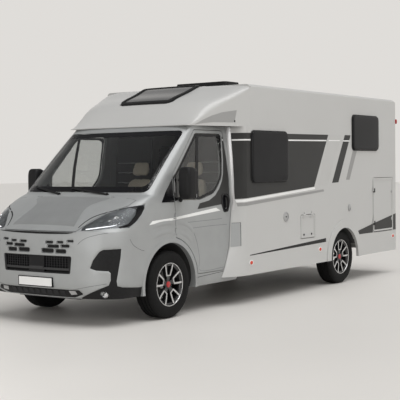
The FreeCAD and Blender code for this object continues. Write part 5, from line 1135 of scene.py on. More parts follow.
class MOTORHOME_OT_front(bpy.types.Operator):
    """Make the nose: slots, grille, plate, chin, lamps and fog lamps"""
    bl_idname = "motorhome.front"
    bl_label = "Front"

    def execute(self, context):
        self.make_slots()
        self.make_grille()
        self.make_chin()
        for name, side in SIDES:
            self.make_lamp(name, side)
            self.make_fog_lamp(name, side)
            self.make_folds(name, side)
        return {"FINISHED"}

    def make_slots(self):
        """Black floors in the slots, the dark gap under the bonnet, and a darker sheet of painted shade on the bonnet's
        middle panel.
        """
        bumper = Skin("front_bumper")
        bm = bmesh.new()
        for y0, y1, z, height in SLOTS:
            bounds = (y0, y1, z - height / 2, z + height / 2)
            hole = rounded(rect(*grown(bounds, -0.0012)), height / 3)
            laid_on(bm, [hole, [(-u, v) for u, v in hole]], bumper, "front", lift=SLOT_FLOOR)
            hole = rounded(rect(*bounds), height / 3)
            for way in (1, -1):
                outline = [(u * way, v) for u, v in hole]
                laid_ring(bm, drawn_in(outline, -0.0045), drawn_in(outline, -0.0008), bumper, "front")
        finished(bm, "nose_slots", "deep_black", "body")
        lay_sheet("bonnet_gap", "deep_black", "body", [BONNET_GAP], bumper, "front", (0.06, None),
                  0.0015)
        # Painted shade: a darker silver sheet over the bonnet's middle panel, for its dimmer reflection
        panel = along(BONNET_SHADE)
        lay_sheet("bonnet_panel_shade", "silver_painted_shade", "bonnet_lid",
                  [panel + [(u, -v) for u, v in reversed(panel)]], Skin("bonnet"), "top", (0.06, 0.06),
                  crease=SOFT_CREASE)

    def make_grille(self):
        """The dark mouth, its cells, the cross bar and the closed middle panel."""
        bumper = Skin("front_bumper")

        def nose(y, z, inset):
            """A place behind the mouth's face."""
            high = bumper.ahead(y, FACE_TOP)
            low = bumper.ahead(y, FACE_FOOT)
            return Vector((low + (high - low) * (z - FACE_FOOT) / FACE_HEIGHT - inset, y, z))

        def add_patch(bm, y0, y1, z0, z1, inset, depth, steps=1, lean=0.0):
            """A sheet across the mouth, wider at its top by a lean."""
            high = []
            low = []
            for i in range(steps + 1):
                y = y0 + (y1 - y0) * i / steps
                shift = lean * (1 if y > 0 else -1)
                high.append([nose(y, z0, inset), nose(y + shift, z1, inset)])
                low.append([nose(y, z0, inset + depth), nose(y + shift, z1, inset + depth)])
            add_shell(bm, high, low)

        edges = [(-0.500, 0.500, 0.581, 0.592, 0.007, 0.030, 16, 0.001),
                 (-0.515, 0.515, 0.763, 0.773, 0.007, 0.030, 16, 0.001)]
        edges += [(way * 0.497, way * 0.470, 0.581, 0.773, 0.007, 0.030, 1, 0.019) for way in (1, -1)]
        slats = [(-0.480, 0.480, z - 0.0035, z + 0.0035, 0.022, 0.016, 16) for z in GRILLE_SLATS]
        spots = [way * (0.150 + 0.0385 * i) for i in range(9) for way in (1, -1)]
        cells = [(y - 0.005, y + 0.005, 0.642, 0.765, 0.018, 0.020) for y in spots]
        bars = [(-0.484, 0.484, 0.616, 0.640, 0.010, 0.026, 16), (-0.100, 0.115, 0.626, 0.652, 0.003, 0.026, 6)]
        back = [(-0.497, 0.497, 0.581, 0.773, 0.044, 0.004, 16, 0.018)]
        middle = [(-0.110, 0.122, 0.590, 0.766, 0.012, 0.026, 6)]
        for name, kind, slot, patches in (
                ("grille_back", "deep_black", "black_plastic", back),
                ("grille_frame", "grille_plastic", "trim", edges + slats),
                ("grille_cells", "grille_plastic", "trim", cells),
                ("grille_bar", "dash_plastic", "trim", bars),
                ("grille_middle", "gloss_black", "trim", middle)):
            bm = bmesh.new()
            for patch in patches:
                add_patch(bm, *patch)
            finished(bm, name, kind, "body")

    def make_chin(self):
        """Blank plate face, and the ribbed strip below it."""
        lay_sheet("plate_face_front", "plate_face", "body", [rounded(rect(*PLATE_FACE), 0.008)],
                  Skin("plates"), "front", lift=0.0015)
        trim = Skin("grille")
        bm = bmesh.new()
        for i in range(CHIN_RIBS):
            y = CHIN_START + CHIN_PITCH * i
            shape = [(y - 0.034, 0.345), (y + 0.030, 0.342), (y + 0.036, 0.394), (y - 0.030, 0.396)]
            laid_on(bm, [rounded(shape, 0.006)], trim, "front", (0.03, None), lift=0.006)
        finished(bm, "chin_ribs", "grille_plastic", "body")
        bm = bmesh.new()
        for way in (1, -1):
            shape = [(way * 0.480, 0.352), (way * 0.560, 0.362), (way * 0.548, 0.400), (way * 0.464, 0.398)]
            laid_on(bm, [shape], trim, "front", (0.03, None), lift=0.004)
        finished(bm, "chin_ends", "pale_plastic", "body")

    def make_lamp(self, name, side):
        """A headlamp's inside, its daylight strip and its black edge."""
        lens = Skin("headlamp_lenses", "front_bumper", "cab_shell", "bonnet")
        sheets = (
            ("reflector", "lamp_grey", [at_corner(LAMP_GREY)], -0.026, 0.030),
            ("module", "gloss_black", [rounded(at_corner(DARK_MODULE), 0.012)], -0.018, 0.021),
            ("end", "lamp_shade", [rounded(at_corner(CHROME_END), 0.012)], -0.020, 0.023),
            ("bezel", "gloss_black", [at_corner(BEZEL)], 0.0014, 0.0008),
            ("top_edge", "deep_black", [strip(smooth_line(at_corner(LAMP_TOP), 3), 0.0075)], 0.0014, 0.0008),
        )
        for label, kind, outlines, lift, sink in sheets:
            lay_on_corner(f"lamp_{label}_{name}", kind, outlines, lens, side, "body", (0.04, 0.04), lift,
                          sink)
        width = [0.0095, 0.0095, 0.006, 0.004]
        lay_on_corner("lamp_daylight_" + name, "daylight_strip", [strip(at_corner(DAYLIGHT), width)], lens, side,
                      "body", (0.03, None), 0.0014)
        lay_on_corner("lamp_guide_" + name, "daylight_strip", [strip(smooth_line(at_corner(LIGHT_GUIDE), 3), 0.0075)],
                      lens, side, "body", (0.04, None), -0.010, 0.014)
        axes = view_axes(name + "_corner")
        for i, (place, radius) in enumerate(PROJECTORS):
            u, v = at_corner([place])[0]
            hit = lens.under(axes, u, v)
            bm = bmesh.new()
            add_round(bm, [(0.000, 0.0), (0.0, radius), (0.008, radius), (0.008, radius * 0.86), (0.003, radius * 0.80),
                           (0.006, radius * 0.5), (0.0075, 0.0)], hit + axes[2] * 0.019, -axes[2])
            finished(bm, f"lamp_projector_{i + 1}_{name}", "lamp_chrome", "body", weld=0.0001)

    def make_fog_lamp(self, name, side):
        """A round fog lamp with a bright bowl."""
        y, z = FOG_LAMP
        centre = Vector((Skin("fog_lamps").ahead(side * y, z), side * y, z))
        bm = bmesh.new()
        add_round(bm, FOG_BOWL, centre, (1, 0, 0), 36)
        finished(bm, "fog_bowl_" + name, "lamp_chrome", "body", weld=0.0001)

    def make_folds(self, name, side):
        """Soft folds and fine seams on one front corner: dark strips on the seams, painted shade along the fold under
        the lamp, and a raised fold beside the bonnet.
        """
        nose = Skin("front_bumper", "cab_shell", "headlamp_lenses")
        # Dark strips on the seams, and painted shade along the fold under the lamp
        seams = [strip(smooth_line(at_corner(line), 4), 0.0032) for line in (LAMP_FOLD_SHADE, FENDER_SEAM, LOW_SEAM)]
        lay_on_corner("nose_seams_and_fold_shade_" + name, "seam_shadow", seams, nose, side, "body", (0.05, 0.05), 0.0009)
        bm = bmesh.new()
        skin = Skin("bonnet", "front_bumper", "cab_shell", "headlamp_lenses")
        add_fold(bm, smooth_line(at_corner(BONNET_CREASE), 4), skin, name + "_corner", SHOULDER_PROFILE)
        finished(bm, "bonnet_shoulder_" + name, "silver_paint", "bonnet_lid", SOFT_CREASE)


# Glazing

WINDOW_EDGE = [(-0.004, 0.0), (0.018, 0.0), (0.025, 0.003), (0.029, 0.010), (0.0305, 0.022), (0.0312, 0.050)]
WINDSCREEN = [(-0.928, 1.446), (0.928, 1.446), (0.880, 2.149), (-0.880, 2.149)]
WINDSCREEN_CLEAR = [(-0.888, 1.506), (0.888, 1.506), (0.846, 2.098), (-0.846, 2.098)]
DOOR_WINDOW = [(-0.150, 1.343), (-0.150, 1.626), (-0.624, 2.122), (-1.164, 2.122), (-1.119, 1.591), (-0.939, 1.405),
               (-0.620, 1.336)]
DOOR_WINDOW_CORNERS = [0.024, 0.030, 0.060, 0.050, 0.240, 0.240, 0.240]
WINDOW_POST = [(-0.545, 1.345), (-0.574, 1.714), (-0.640, 2.100), (-0.692, 2.100), (-0.630, 1.714), (-0.600, 1.345)]
QUARTER_WINDOW = [(-0.083, 1.342), (0.098, 1.342), (0.008, 1.446), (-0.083, 1.552)]
MIRROR_PANEL = [(-0.152, 1.336), (-0.152, 1.642), (-0.118, 1.606), (-0.118, 1.336)]
BACK_WINDOW = (-0.450, 0.450, 1.560, 2.080)
CLEAR_CORNERS = [0.030, 0.090, 0.120, 0.120, 0.240, 0.240, 0.240]
# How far a pane reaches past its opening, its corners' radius and how far its face stands out
PANE_GROW = 0.020
PANE_CORNER = 0.075
PANE_STAND = WINDOW_EDGE[-1][0]


def drawn_in(outline, distance):
    """A closed outline moved inwards, with the same number of points."""
    count = len(outline)
    turning = sum(outline[i - 1][0] * outline[i][1] - outline[i][0] * outline[i - 1][1] for i in range(count))
    way = 1 if turning > 0 else -1
    out = []
    for i in range(count):
        before = Vector(outline[i]) - Vector(outline[i - 1])
        after = Vector(outline[(i + 1) % count]) - Vector(outline[i])
        normal = Vector((0.0, 0.0))
        for run in (before, after):
            if run.length > 1e-7:
                normal += Vector((-run.y, run.x)).normalized() * way
        if normal.length < 1e-6:
            out.append(outline[i])
            continue
        normal.normalize()
        reference = before if before.length > 1e-7 else after
        lean = max(0.5, Vector((-reference.y, reference.x)).normalized().dot(normal) * way)
        out.append(tuple(Vector(outline[i]) + normal * distance / lean))
    return out


def dense(outline, other, step=0.07):
    """Two outlines with the same number of points, both split where the first is long."""
    first = []
    second = []
    count = len(outline)
    for i in range(count):
        a, b = Vector(outline[i]), Vector(outline[(i + 1) % count])
        c, d = Vector(other[i]), Vector(other[(i + 1) % count])
        pieces = max(1, int((b - a).length / step))
        for k in range(pieces):
            first.append(tuple(a.lerp(b, k / pieces)))
            second.append(tuple(c.lerp(d, k / pieces)))
    return first, second


def laid_ring(bm, outer, inner, skin, view, lift=FILM, sink=0.0006):
    """A thin closed ring between two outlines, laid on a surface."""
    axes = view_axes(view)
    rows = []
    for outline in dense(outer, inner):
        hits = [skin.under(axes, u, v) for u, v in outline]
        rows.append([bm.verts.new(h - axes[2] * lift) for h in hits])
        rows.append([bm.verts.new(h + axes[2] * sink) for h in hits])
    join_rings(bm, [rows[0], rows[1], rows[3], rows[2]], closed=True)


def add_pane(bm, bounds, corner, place):
    """A pane that stands proud, with a soft edge. place(u, v, height) sets it in space."""
    rings = []
    for height, inset in WINDOW_EDGE:
        outline = rounded(rect(*grown(bounds, -inset)), corner - inset * 0.5, 8)
        rings.append([bm.verts.new(place(u, v, height)) for u, v in outline])
    join_rings(bm, rings, capped=True)


class MOTORHOME_OT_glazing(bpy.types.Operator):
    """Make the proud windows of the living space, the dark glass borders and the door windows' posts"""
    bl_idname = "motorhome.glazing"
    bl_label = "Glazing"

    def execute(self, context):
        pane = bmesh.new()
        seal = bmesh.new()
        for side in (LEFT, RIGHT):
            def at_wall(u, v, height, side=side):
                return (u, side * (SIDE_Y + height), v)

            for window in (FRONT_WINDOW, REAR_WINDOW):
                bounds = area(window, PANE_GROW)
                add_pane(pane, bounds, PANE_CORNER, at_wall)
                outer = rounded(rect(*grown(bounds, 0.010)), 0.085, 8)
                inner = rounded(rect(*grown(bounds, -0.020)), 0.055, 8)
                add_frame(seal, outer, inner, side_place(side * (SIDE_Y - 0.004)), (0, side * 0.013, 0))
        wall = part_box("coach_rear_wall")[0][0]
        back = Skin("coach_rear_wall").drop((-FAR, 0.0, BACK_WINDOW[3] + 0.06), (1, 0, 0)).x
        if back - PANE_STAND < wall:
            back = wall + PANE_STAND
        add_pane(pane, grown(BACK_WINDOW, PANE_GROW), PANE_CORNER, lambda u, v, height: (back - height, u, v))
        finished(pane, "living_windows", "tinted_glass", "body", 25.0, ("coach_windows", "window_frames"))
        finished(seal, "living_window_seals", "seal_rubber", "body")
        self.make_borders()
        return {"FINISHED"}

    def make_borders(self):
        """Dark borders on the windscreen and the door windows, and the post in each door window."""
        bm = bmesh.new()
        outer = rounded(WINDSCREEN, 0.056, 6)
        inner = rounded(WINDSCREEN_CLEAR, 0.070, 6)
        laid_ring(bm, outer, inner, Skin("cab_glass"), "front", 0.0010, 0.0004)
        finished(bm, "windscreen_border", "gloss_black", "body")
        for name in ("left", "right"):
            glass = Skin("door_glass_" + name)
            bm = bmesh.new()
            outer = drawn_in(rounded(along(DOOR_WINDOW), DOOR_WINDOW_CORNERS, 6), 0.004)
            inner = drawn_in(rounded(along(DOOR_WINDOW), CLEAR_CORNERS, 6), 0.034)
            laid_ring(bm, outer, inner, glass, name, 0.0010, 0.0004)
            laid_on(bm, [along(WINDOW_POST)], glass, name, (None, 0.08), lift=0.0016)
            finished(bm, "door_window_border_" + name, "gloss_black", "cab_door_" + name)
            shell = Skin("cab_shell", "cab_glass", "door_" + name, "door_glass_" + name)
            lay_sheet("quarter_panel_" + name, "gloss_black", "body",
                      [drawn_in(along(QUARTER_WINDOW), -0.020)], shell, name, (0.04, 0.04), 0.0030)
            lay_sheet("mirror_panel_" + name, "gloss_black", "cab_door_" + name,
                      [along(MIRROR_PANEL)], shell, name, (None, 0.08), 0.0014)


# Doors, mirrors and side fittings

HANDLE = [(-1.080, 1.392), (-1.214, 1.388), (-1.232, 1.293), (-1.196, 1.168), (-1.099, 1.162), (-1.056, 1.261)]
HANDLE_GRIP = [(-1.152, 1.012, 1.368), (-1.160, 1.040, 1.345), (-1.164, 1.050, 1.290), (-1.158, 1.050, 1.235),
               (-1.150, 1.038, 1.200), (-1.146, 1.016, 1.186)]
# Dark strips of painted shade along the door's folds, in side view
DOOR_FOLD_SHADES = [
    [(-0.425, 1.006), (-0.844, 1.014), (-1.160, 1.012)],
    [(-0.340, 1.078), (-0.848, 1.084), (-1.060, 1.090)],
    [(-0.429, 1.000), (-0.522, 0.835), (-0.570, 0.640), (-0.593, 0.490), (-1.079, 0.494)],
]
RIDGE_FRONT = [(0.330, 1.052), (0.160, 1.074), (0.031, 1.080), (-0.100, 1.078)]
RIDGE_REAR = [(-0.128, 1.077), (-0.262, 1.062), (-0.360, 1.025), (-0.428, 0.970), (-0.452, 0.925)]
ARCH_FRONT = [(0.330, 0.925), (0.180, 0.968), (0.036, 0.983), (-0.100, 0.978)]
ARCH_REAR = [(-0.128, 0.974), (-0.219, 0.955), (-0.330, 0.905), (-0.400, 0.850), (-0.430, 0.822)]
SILL_LINE = [(-0.500, 0.418), (-0.718, 0.426), (-1.042, 0.440), (-1.110, 0.443)]
# Outline of the painted shade on the cap's side recess, in side view
CAP_RECESS_SHADE = [(-0.600, 2.225), (-0.740, 2.287), (-0.870, 2.337), (-1.039, 2.382), (-1.270, 2.414), (-1.238, 2.300),
              (-1.215, 2.262), (-0.900, 2.259), (-0.700, 2.240)]
CAP_SHOULDER = [(-0.700, 2.350), (-0.845, 2.450), (-1.016, 2.541), (-1.227, 2.622), (-1.385, 2.676)]
FILLER = (-2.360, 1.050)
SOCKET = (-4.192, 1.098)
MARKER_PLACES = [(-1.498, 0.516), (-3.294, 0.552), (-5.700, 0.590)]
MIRROR_HEAD = (-0.119, 1.190, 1.540)
MIRROR_HALF = (0.081, 0.084, 0.184)
# The arms of a mirror from foot to head, (x from the front axle, y, height below the head's end)
MIRROR_ARM = [(-0.215, 1.012, 0.075), (-0.180, 1.062, 0.030), (-0.130, 1.120, 0.0)]
MIRROR_ARM_ENDS = (1.408, 1.640)
GARAGE_HINGES = (0.83, 1.33)
GARAGE_LATCHES = (0.87, 1.30)
SERVICE_LATCHES = (-3.045, -2.835)
SHOULDER_FOLD = [(-0.012, 0.0), (-0.004, 0.006), (0.006, 0.0075), (0.025, 0.004), (0.05, 0.0)]
# A side marker's lens: half sizes, power, rings and steps of its form
MARKER_LENS = ((0.033, 0.012, 0.024), 2.6, 10, 28)
TOP_MARKER = (-5.839, 1.158, 2.408)


def add_pillow(bm, centre, half, power=4.0, rings=14, steps=36):
    """A soft-cornered block: a rounded form, square where power is high."""
    def bent(value):
        return math.copysign(abs(value) ** (2.0 / power), value)

    x, y, z = centre
    rows = []
    for i in range(1, rings):
        t = math.pi * i / rings
        r = abs(math.sin(t)) ** (2.0 / power)
        up = z + half[2] * bent(-math.cos(t))
        rows.append([bm.verts.new((x + half[0] * r * bent(c), y + half[1] * r * bent(s), up))
                     for c, s in full_turn(steps)])
    join_rings(bm, rows, capped=True)


def add_disc(bm, skin, side, x, z, radius, height, hole, steps=40, tall=1.0):
    """A flat round fitting with a hole, on one side of the vehicle."""
    hit = skin.beside(at(x), z, side)
    rows = [(radius, -0.001), (radius, height * 0.7), (radius - height * 0.5, height), (hole, height), (hole, -0.001)]
    join_rings(bm, [[bm.verts.new((hit.x + r * c, hit.y + side * y, hit.z + r * tall * s)) for c, s in full_turn(steps)]
                    for r, y in rows], closed=True)


def lay_discs(name, kind, body, skin, side, discs):
    """Round fittings on one side of the vehicle, as one piece."""
    bm = bmesh.new()
    for disc in discs:
        add_disc(bm, skin, side, *disc)
    finished(bm, name, kind, body)


def lay_fold(name, kind, body, path, skin, view, profile, fade):
    """A soft fold, as its own piece."""
    bm = bmesh.new()
    add_fold(bm, path, skin, view, profile, fade)
    finished(bm, name, kind, body, SOFT_CREASE)


def lay_flap_frame(name, body, opening, gap, corner, width, skin, view, lift):
    """A pressed frame round the edge of a flap."""
    bm = bmesh.new()
    outer = rounded(rect(*area(opening, -gap)), corner, 6)
    laid_ring(bm, outer, drawn_in(outer, width), skin, view, lift)
    finished(bm, name, "coach_paint", body)


class MOTORHOME_OT_sides(bpy.types.Operator):
    """Make the handles, folds, mirrors, flaps' frames, covers and marker lamps' rings"""
    bl_idname = "motorhome.sides"
    bl_label = "Sides"

    def execute(self, context):
        for name, side in SIDES:
            self.make_door(name, side)
            self.make_mirror(name, side)
            self.make_fittings(name, side)
        return {"FINISHED"}

    def make_door(self, name, side):
        """Handle, folds and seams of one cab door and the panels round it, with strips of painted shade along the
        door's folds and a film of painted shade on the cap's side recess.
        """
        body = "cab_door_" + name
        door = Skin("door_" + name)
        shell = Skin("cab_shell")
        lay("door_handle_plate_" + name, "gloss_black", [rounded(along(HANDLE), 0.035)], door, side, body,
            (0.04, 0.04), lift=0.005)
        bm = bmesh.new()
        grip = smooth_path([(at(x), side * y, z) for x, y, z in HANDLE_GRIP], 5)
        add_tube(bm, grip, 0.017, 14, 0.8)
        finished(bm, "door_handle_" + name, "black_plastic", body)
        lay_discs("door_lock_" + name, "lamp_chrome", body, door, side,
                  [(-1.146, 1.206, 0.012, 0.010, 0.003, 24)])
        # Dark strips of painted shade along the door's folds
        folds = [strip(smooth_line(along(line), 4), 0.006) for line in DOOR_FOLD_SHADES]
        lay("door_fold_shades_" + name, "fold_painted_shade", folds, door, side, body, (0.1, 0.08), lift=0.0006)
        for label, front, rear, height in (
                ("ridge", RIDGE_FRONT, RIDGE_REAR, 0.0055), ("arch", ARCH_FRONT, ARCH_REAR, 0.0045)):
            profile = [(-0.045, 0.0), (-0.028, height * 0.45), (-0.010, height), (0.0, height * 0.95),
                       (0.010, height * 0.4), (0.018, 0.0)]
            for end, line, skin, rides in (("front", front, shell, "body"), ("rear", rear, door, body)):
                lay_fold(f"{label}_fold_{end}_{name}", "silver_paint", rides, smooth_line(along(line), 4),
                         skin, name, profile, 0.10)
        lay("sill_line_" + name, "seam_shadow", [strip(along(SILL_LINE), 0.006)], shell, side, "body", (0.1, None),
            lift=0.0008)
        cap = Skin("overcab_cap")
        # Painted shade: a darker film over the cap's side recess
        lay("cap_recess_shade_" + name, "coach_painted_shade", [along(CAP_RECESS_SHADE)], cap, side, "body", (0.04, 0.03), lift=0.0010)
        lay_fold("cap_shoulder_" + name, "coach_paint", "body", smooth_line(along(CAP_SHOULDER), 5),
                 cap, name, SHOULDER_FOLD, 0.12)
        lay_discs("cap_plug_" + name, "black_plastic", "body", cap, side,
                  [(-1.233, 2.278, 0.012, 0.006, 0.002, 20)])

    def make_mirror(self, name, side):
        """A rounded mirror head on two arms, and its foot in the window's front corner."""
        body = "cab_door_" + name
        x, y, z = MIRROR_HEAD
        centre = (at(x), side * y, z)
        bm = bmesh.new()
        add_pillow(bm, centre, MIRROR_HALF, 4.5)
        finished(bm, "mirror_head_" + name, "black_plastic", body, SOFT_CREASE, ("mirror_" + name,))
        bm = bmesh.new()
        for end in MIRROR_ARM_ENDS:
            path = [(at(along_x), side * out, end - below) for along_x, out, below in MIRROR_ARM]
            add_tube(bm, smooth_path(path, 5), 0.024, 14, 0.7)
        finished(bm, "mirror_arms_" + name, "black_plastic", body)
        bm = bmesh.new()
        outer = rounded(rect(y - 0.074, y + 0.074, z - 0.150, z + 0.155), 0.035, 6)
        inner = rounded(rect(y - 0.066, y + 0.066, z - 0.142, z + 0.147), 0.030, 6)
        add_frame(bm, [(side * u, v) for u, v in outer], [(side * u, v) for u, v in inner],
                  front_place(centre[0] - 0.0835), (0.02, 0, 0))
        finished(bm, "mirror_rim_" + name, "gloss_black", body)

    def make_fittings(self, name, side):
        """Flap frames, hinges and latches, covers and lamp rings of one side."""
        wall = Skin("coach_wall_" + name)
        flap = Skin("garage_door_" + name)
        body = "garage_flap_" + name
        lay_flap_frame("garage_frame_" + name, body, GARAGE, 0.009, 0.044, 0.024, flap, name, 0.006)
        front = at(GARAGE[1])
        bm = bmesh.new()
        for z in GARAGE_HINGES:
            add_box(bm, *corners(front - 0.052, front - 0.008, side * 1.163, side * 1.176, z - 0.032, z + 0.032))
        finished(bm, "garage_hinges_" + name, "black_plastic", body)
        lay_discs("garage_latches_" + name, "pale_plastic", body, flap, side,
                  [(GARAGE[0] + 0.048, z, 0.022, 0.010, 0.004, 28) for z in GARAGE_LATCHES])
        if side == LEFT:
            hatch = Skin("service_hatch")
            lay_flap_frame("service_frame", "service_flap", SERVICE, 0.008, 0.030, 0.018, hatch, name, 0.005)
            x, z = SOCKET
            for label, kind, body, slot, skin, discs in (
                    ("service_latches", "grille_plastic", "service_flap", "black_plastic", hatch,
                     [(latch, 0.785, 0.014, 0.009, 0.003, 24) for latch in SERVICE_LATCHES]),
                    ("filler_cap", "pale_plastic", "body", "coach_paint", wall,
                     [(*FILLER, 0.066, 0.010, 0.052), (*FILLER, 0.048, 0.007, 0.004)]),
                    ("filler_lock", "grille_plastic", "body", "black_plastic", wall,
                     [(*FILLER, 0.019, 0.0095, 0.002, 40, 0.45)]),
                    ("socket_cover", "pale_plastic", "body", "coach_paint", wall,
                     [(x, z, 0.038, 0.016, 0.004, 40, 1.35)]),
                    ("socket_lock", "grille_plastic", "body", "black_plastic", wall,
                     [(x, z - 0.02, 0.014, 0.019, 0.003)])):
                lay_discs(label, kind, body, skin, side, discs)
        skirt = Skin("side_skirts", "coach_wall_" + name, "rear_bumper")
        lay_discs("marker_rings_" + name, "pale_film", "body", skirt, side,
                  [(x, z, 0.045, 0.004, 0.034, 40, 0.74) for x, z in MARKER_PLACES])
        lens = bmesh.new()
        for x, z in MARKER_PLACES:
            add_pillow(lens, tuple(skirt.beside(at(x), z, side)), *MARKER_LENS)
        finished(lens, "marker_lenses_" + name, "marker_red", "body", SOFT_CREASE)
        lamp = bmesh.new()
        x, y, z = TOP_MARKER
        add_pillow(lamp, (at(x), side * y, z), (0.022, 0.018, 0.036), 4.0, 10, 24)
        finished(lamp, "top_marker_" + name, "lamp_red", "body")


def corners(x0, x1, y0, y1, z0, z1):
    """The lowest and highest corners of a block."""
    return (min(x0, x1), min(y0, y1), min(z0, z1)), (max(x0, x1), max(y0, y1), max(z0, z1))


# Roof and rear

SKY_OUTLINE = [(-1.470, -0.455), (-0.840, -0.405), (-0.840, 0.405), (-1.470, 0.455)]
SKY_PANE = [(-1.430, -0.420), (-0.880, -0.372), (-0.880, 0.372), (-1.430, 0.420)]
SKY_BEHIND = [(-1.860, -0.485), (-1.440, -0.485), (-1.440, 0.485), (-1.860, 0.485)]
SKY_RISE = 0.024
HATCH_COVERS = [(-2.250, 0.0, 0.190, 0.425), (-4.720, 0.0, 0.225, 0.225)]
HATCH_RISE = 0.112
HIGH_LAMP = (-0.190, 0.190, 2.610, 2.640)
REFLECTOR = (0.60, 0.78, 0.560, 0.596)
CORNER_BAR = [(1.020, 0.95), (1.020, 1.60), (1.000, 2.45)]


class CapTop:
    """The top of the roof cap, carried across the opening of its window."""

    def __init__(self):
        self.skin = Skin("overcab_cap", "coach_roof")

    def drop(self, start, way):
        """The cap's height beside the opening, with a slight crown across it."""
        beside = self.skin.drop((start[0], 0.520, start[2]), way)
        return Vector((start[0], start[1], beside.z + 0.004 * (1 - (start[1] / 0.5) ** 2)))


class MOTORHOME_OT_roof(bpy.types.Operator):
    """Make the sky window over the cab, the roof hatches' covers and the rear wall's fittings"""
    bl_idname = "motorhome.roof"
    bl_label = "Roof and rear"

    def execute(self, context):
        self.make_sky_window()
        self.make_hatches()
        self.make_rear()
        return {"FINISHED"}

    def make_sky_window(self):
        """The dark window that follows the slope of the cap, with a raised rim."""
        cap = CapTop()
        outer = rounded(along(SKY_OUTLINE), 0.085, 8)
        rim = bmesh.new()
        outer, inner = dense(outer, drawn_in(outer, 0.045), 0.06)
        rings = []
        for outline, height in ((outer, -0.002), (outer, 0.010), (drawn_in(outer, 0.006), SKY_RISE), (inner, SKY_RISE),
                                (inner, 0.006)):
            lean = Vector((0.25 * height, 0, height))
            rings.append([rim.verts.new(cap.drop((u, v, FAR), (0, 0, -1)) + lean) for u, v in outline])
        join_rings(rim, rings, closed=True)
        finished(rim, "sky_window_rim", "black_plastic", "body", 40.0, ("roof_window_frames",))
        lay_sheet("sky_window_pane", "roof_dome", "body", [rounded(along(SKY_PANE), 0.06, 8)], cap, "top",
                  (0.06, 0.06), 0.015, 40.0, ("roof_windows",))
        lay_sheet("cap_panel", "coach_paint", "body", [along(SKY_BEHIND)], cap, "top", (0.06, 0.12),
                  0.004, SOFT_CREASE)

    def make_hatches(self):
        """The dark covers of the roof hatches, each with a pressed middle."""
        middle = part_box("coach_roof")[1][2]
        bm = bmesh.new()
        for x, y, half_x, half_y in HATCH_COVERS:
            bounds = (at(x) - half_x, at(x) + half_x, y - half_y, y + half_y)
            rings = []
            for inset, height in ((0.012, -0.004), (0.012, 0.012), (0.0, 0.016), (0.0, 0.055), (0.012, HATCH_RISE),
                                  (0.060, HATCH_RISE), (0.075, HATCH_RISE - 0.006)):
                outline = rounded(rect(*grown(bounds, -inset)), max(0.02, 0.07 - inset * 0.4), 6)
                rings.append([bm.verts.new((u, v, middle + height)) for u, v in outline])
            join_rings(bm, rings, capped=True)
        finished(bm, "roof_hatch_covers", "black_plastic", "body", 30.0)

    def make_rear(self):
        """High brake lamp, corner bars and reflectors of the back wall."""
        wall = Skin("coach_rear_wall", "rear_bumper")
        lay_sheet("high_brake_lamp", "lamp_red", "body", [rounded(rect(*HIGH_LAMP), 0.012)], wall, "rear",
                  (0.04, None), 0.012)
        bm = bmesh.new()
        for side in (LEFT, RIGHT):
            path = smooth_line([(side * y, z) for y, z in CORNER_BAR], 4)
            laid_on(bm, [strip(path, 0.016)], wall, "rear", (None, 0.12), lift=0.005)
        finished(bm, "rear_corner_bars", "pale_film", "body")
        bm = bmesh.new()
        for side in (LEFT, RIGHT):
            y0, y1, z0, z1 = REFLECTOR
            ends = sorted((side * y0, side * y1))
            laid_on(bm, [rounded(rect(*ends, z0, z1), 0.012, 4)], wall, "rear", (0.03, None), lift=0.006)
        finished(bm, "rear_reflectors", "lamp_red", "body")


# Cab inside

class PadSettings(bpy.types.PropertyGroup):
    """How the seats' pads are made"""
    pressure: bpy.props.FloatProperty(name="Pressure", description="Pressure that fills a pad", default=4.0)
    swell: bpy.props.FloatProperty(
        name="Swell", description="Farthest that a point of a pad may move", unit="LENGTH", default=0.020)
    cell: bpy.props.FloatProperty(
        name="Cell", description="Size of the pad's cells", unit="LENGTH", default=0.012)
    frames: bpy.props.IntProperty(name="Frames", description="Frames that the pads are filled for", default=20)


# The pads' cloth
CLOTH = {"quality": 4, "mass": 0.3, "tension_stiffness": 20.0, "compression_stiffness": 20.0, "shear_stiffness": 10.0,
         "bending_stiffness": 1.0}
# The seat, from the front axle: foot, lean and top of its back, and its cushion
BACK_FOOT = (-1.160, 0.912)
BACK_LEAN = math.atan2(1.230 - 1.100, 1.500 - 0.910)
REST_TOP = (-1.312, 1.700)
CUSHION = (-0.950, 0.792)
# Pads as half width, half length, thickness, corner radius, crown and taper
CUSHION_PAD = (0.228, 0.238, 0.098, 0.07, 0.012, 0.0)
BACK_PAD = (0.236, 0.330, 0.086, 0.09, 0.010, 0.050)
REST_PAD = (0.142, 0.090, 0.060, 0.06, 0.008, 0.026)
SEAM_POINTS = 15
# The dashboard's fittings: place (x from the front axle, y, height over its top) and half sizes
VISOR = ((-0.330, SEAT_Y, 0.020), (0.075, 0.170, 0.034))
SCREEN = ((-0.345, 0.0, 0.040), (0.014, 0.125, 0.066))
PARTITION_RAILS = (1.520, 1.650, 1.780)
PARTITION = [(0.300, 0.760), (0.950, 0.760), (0.905, 2.120), (0.300, 2.120)]


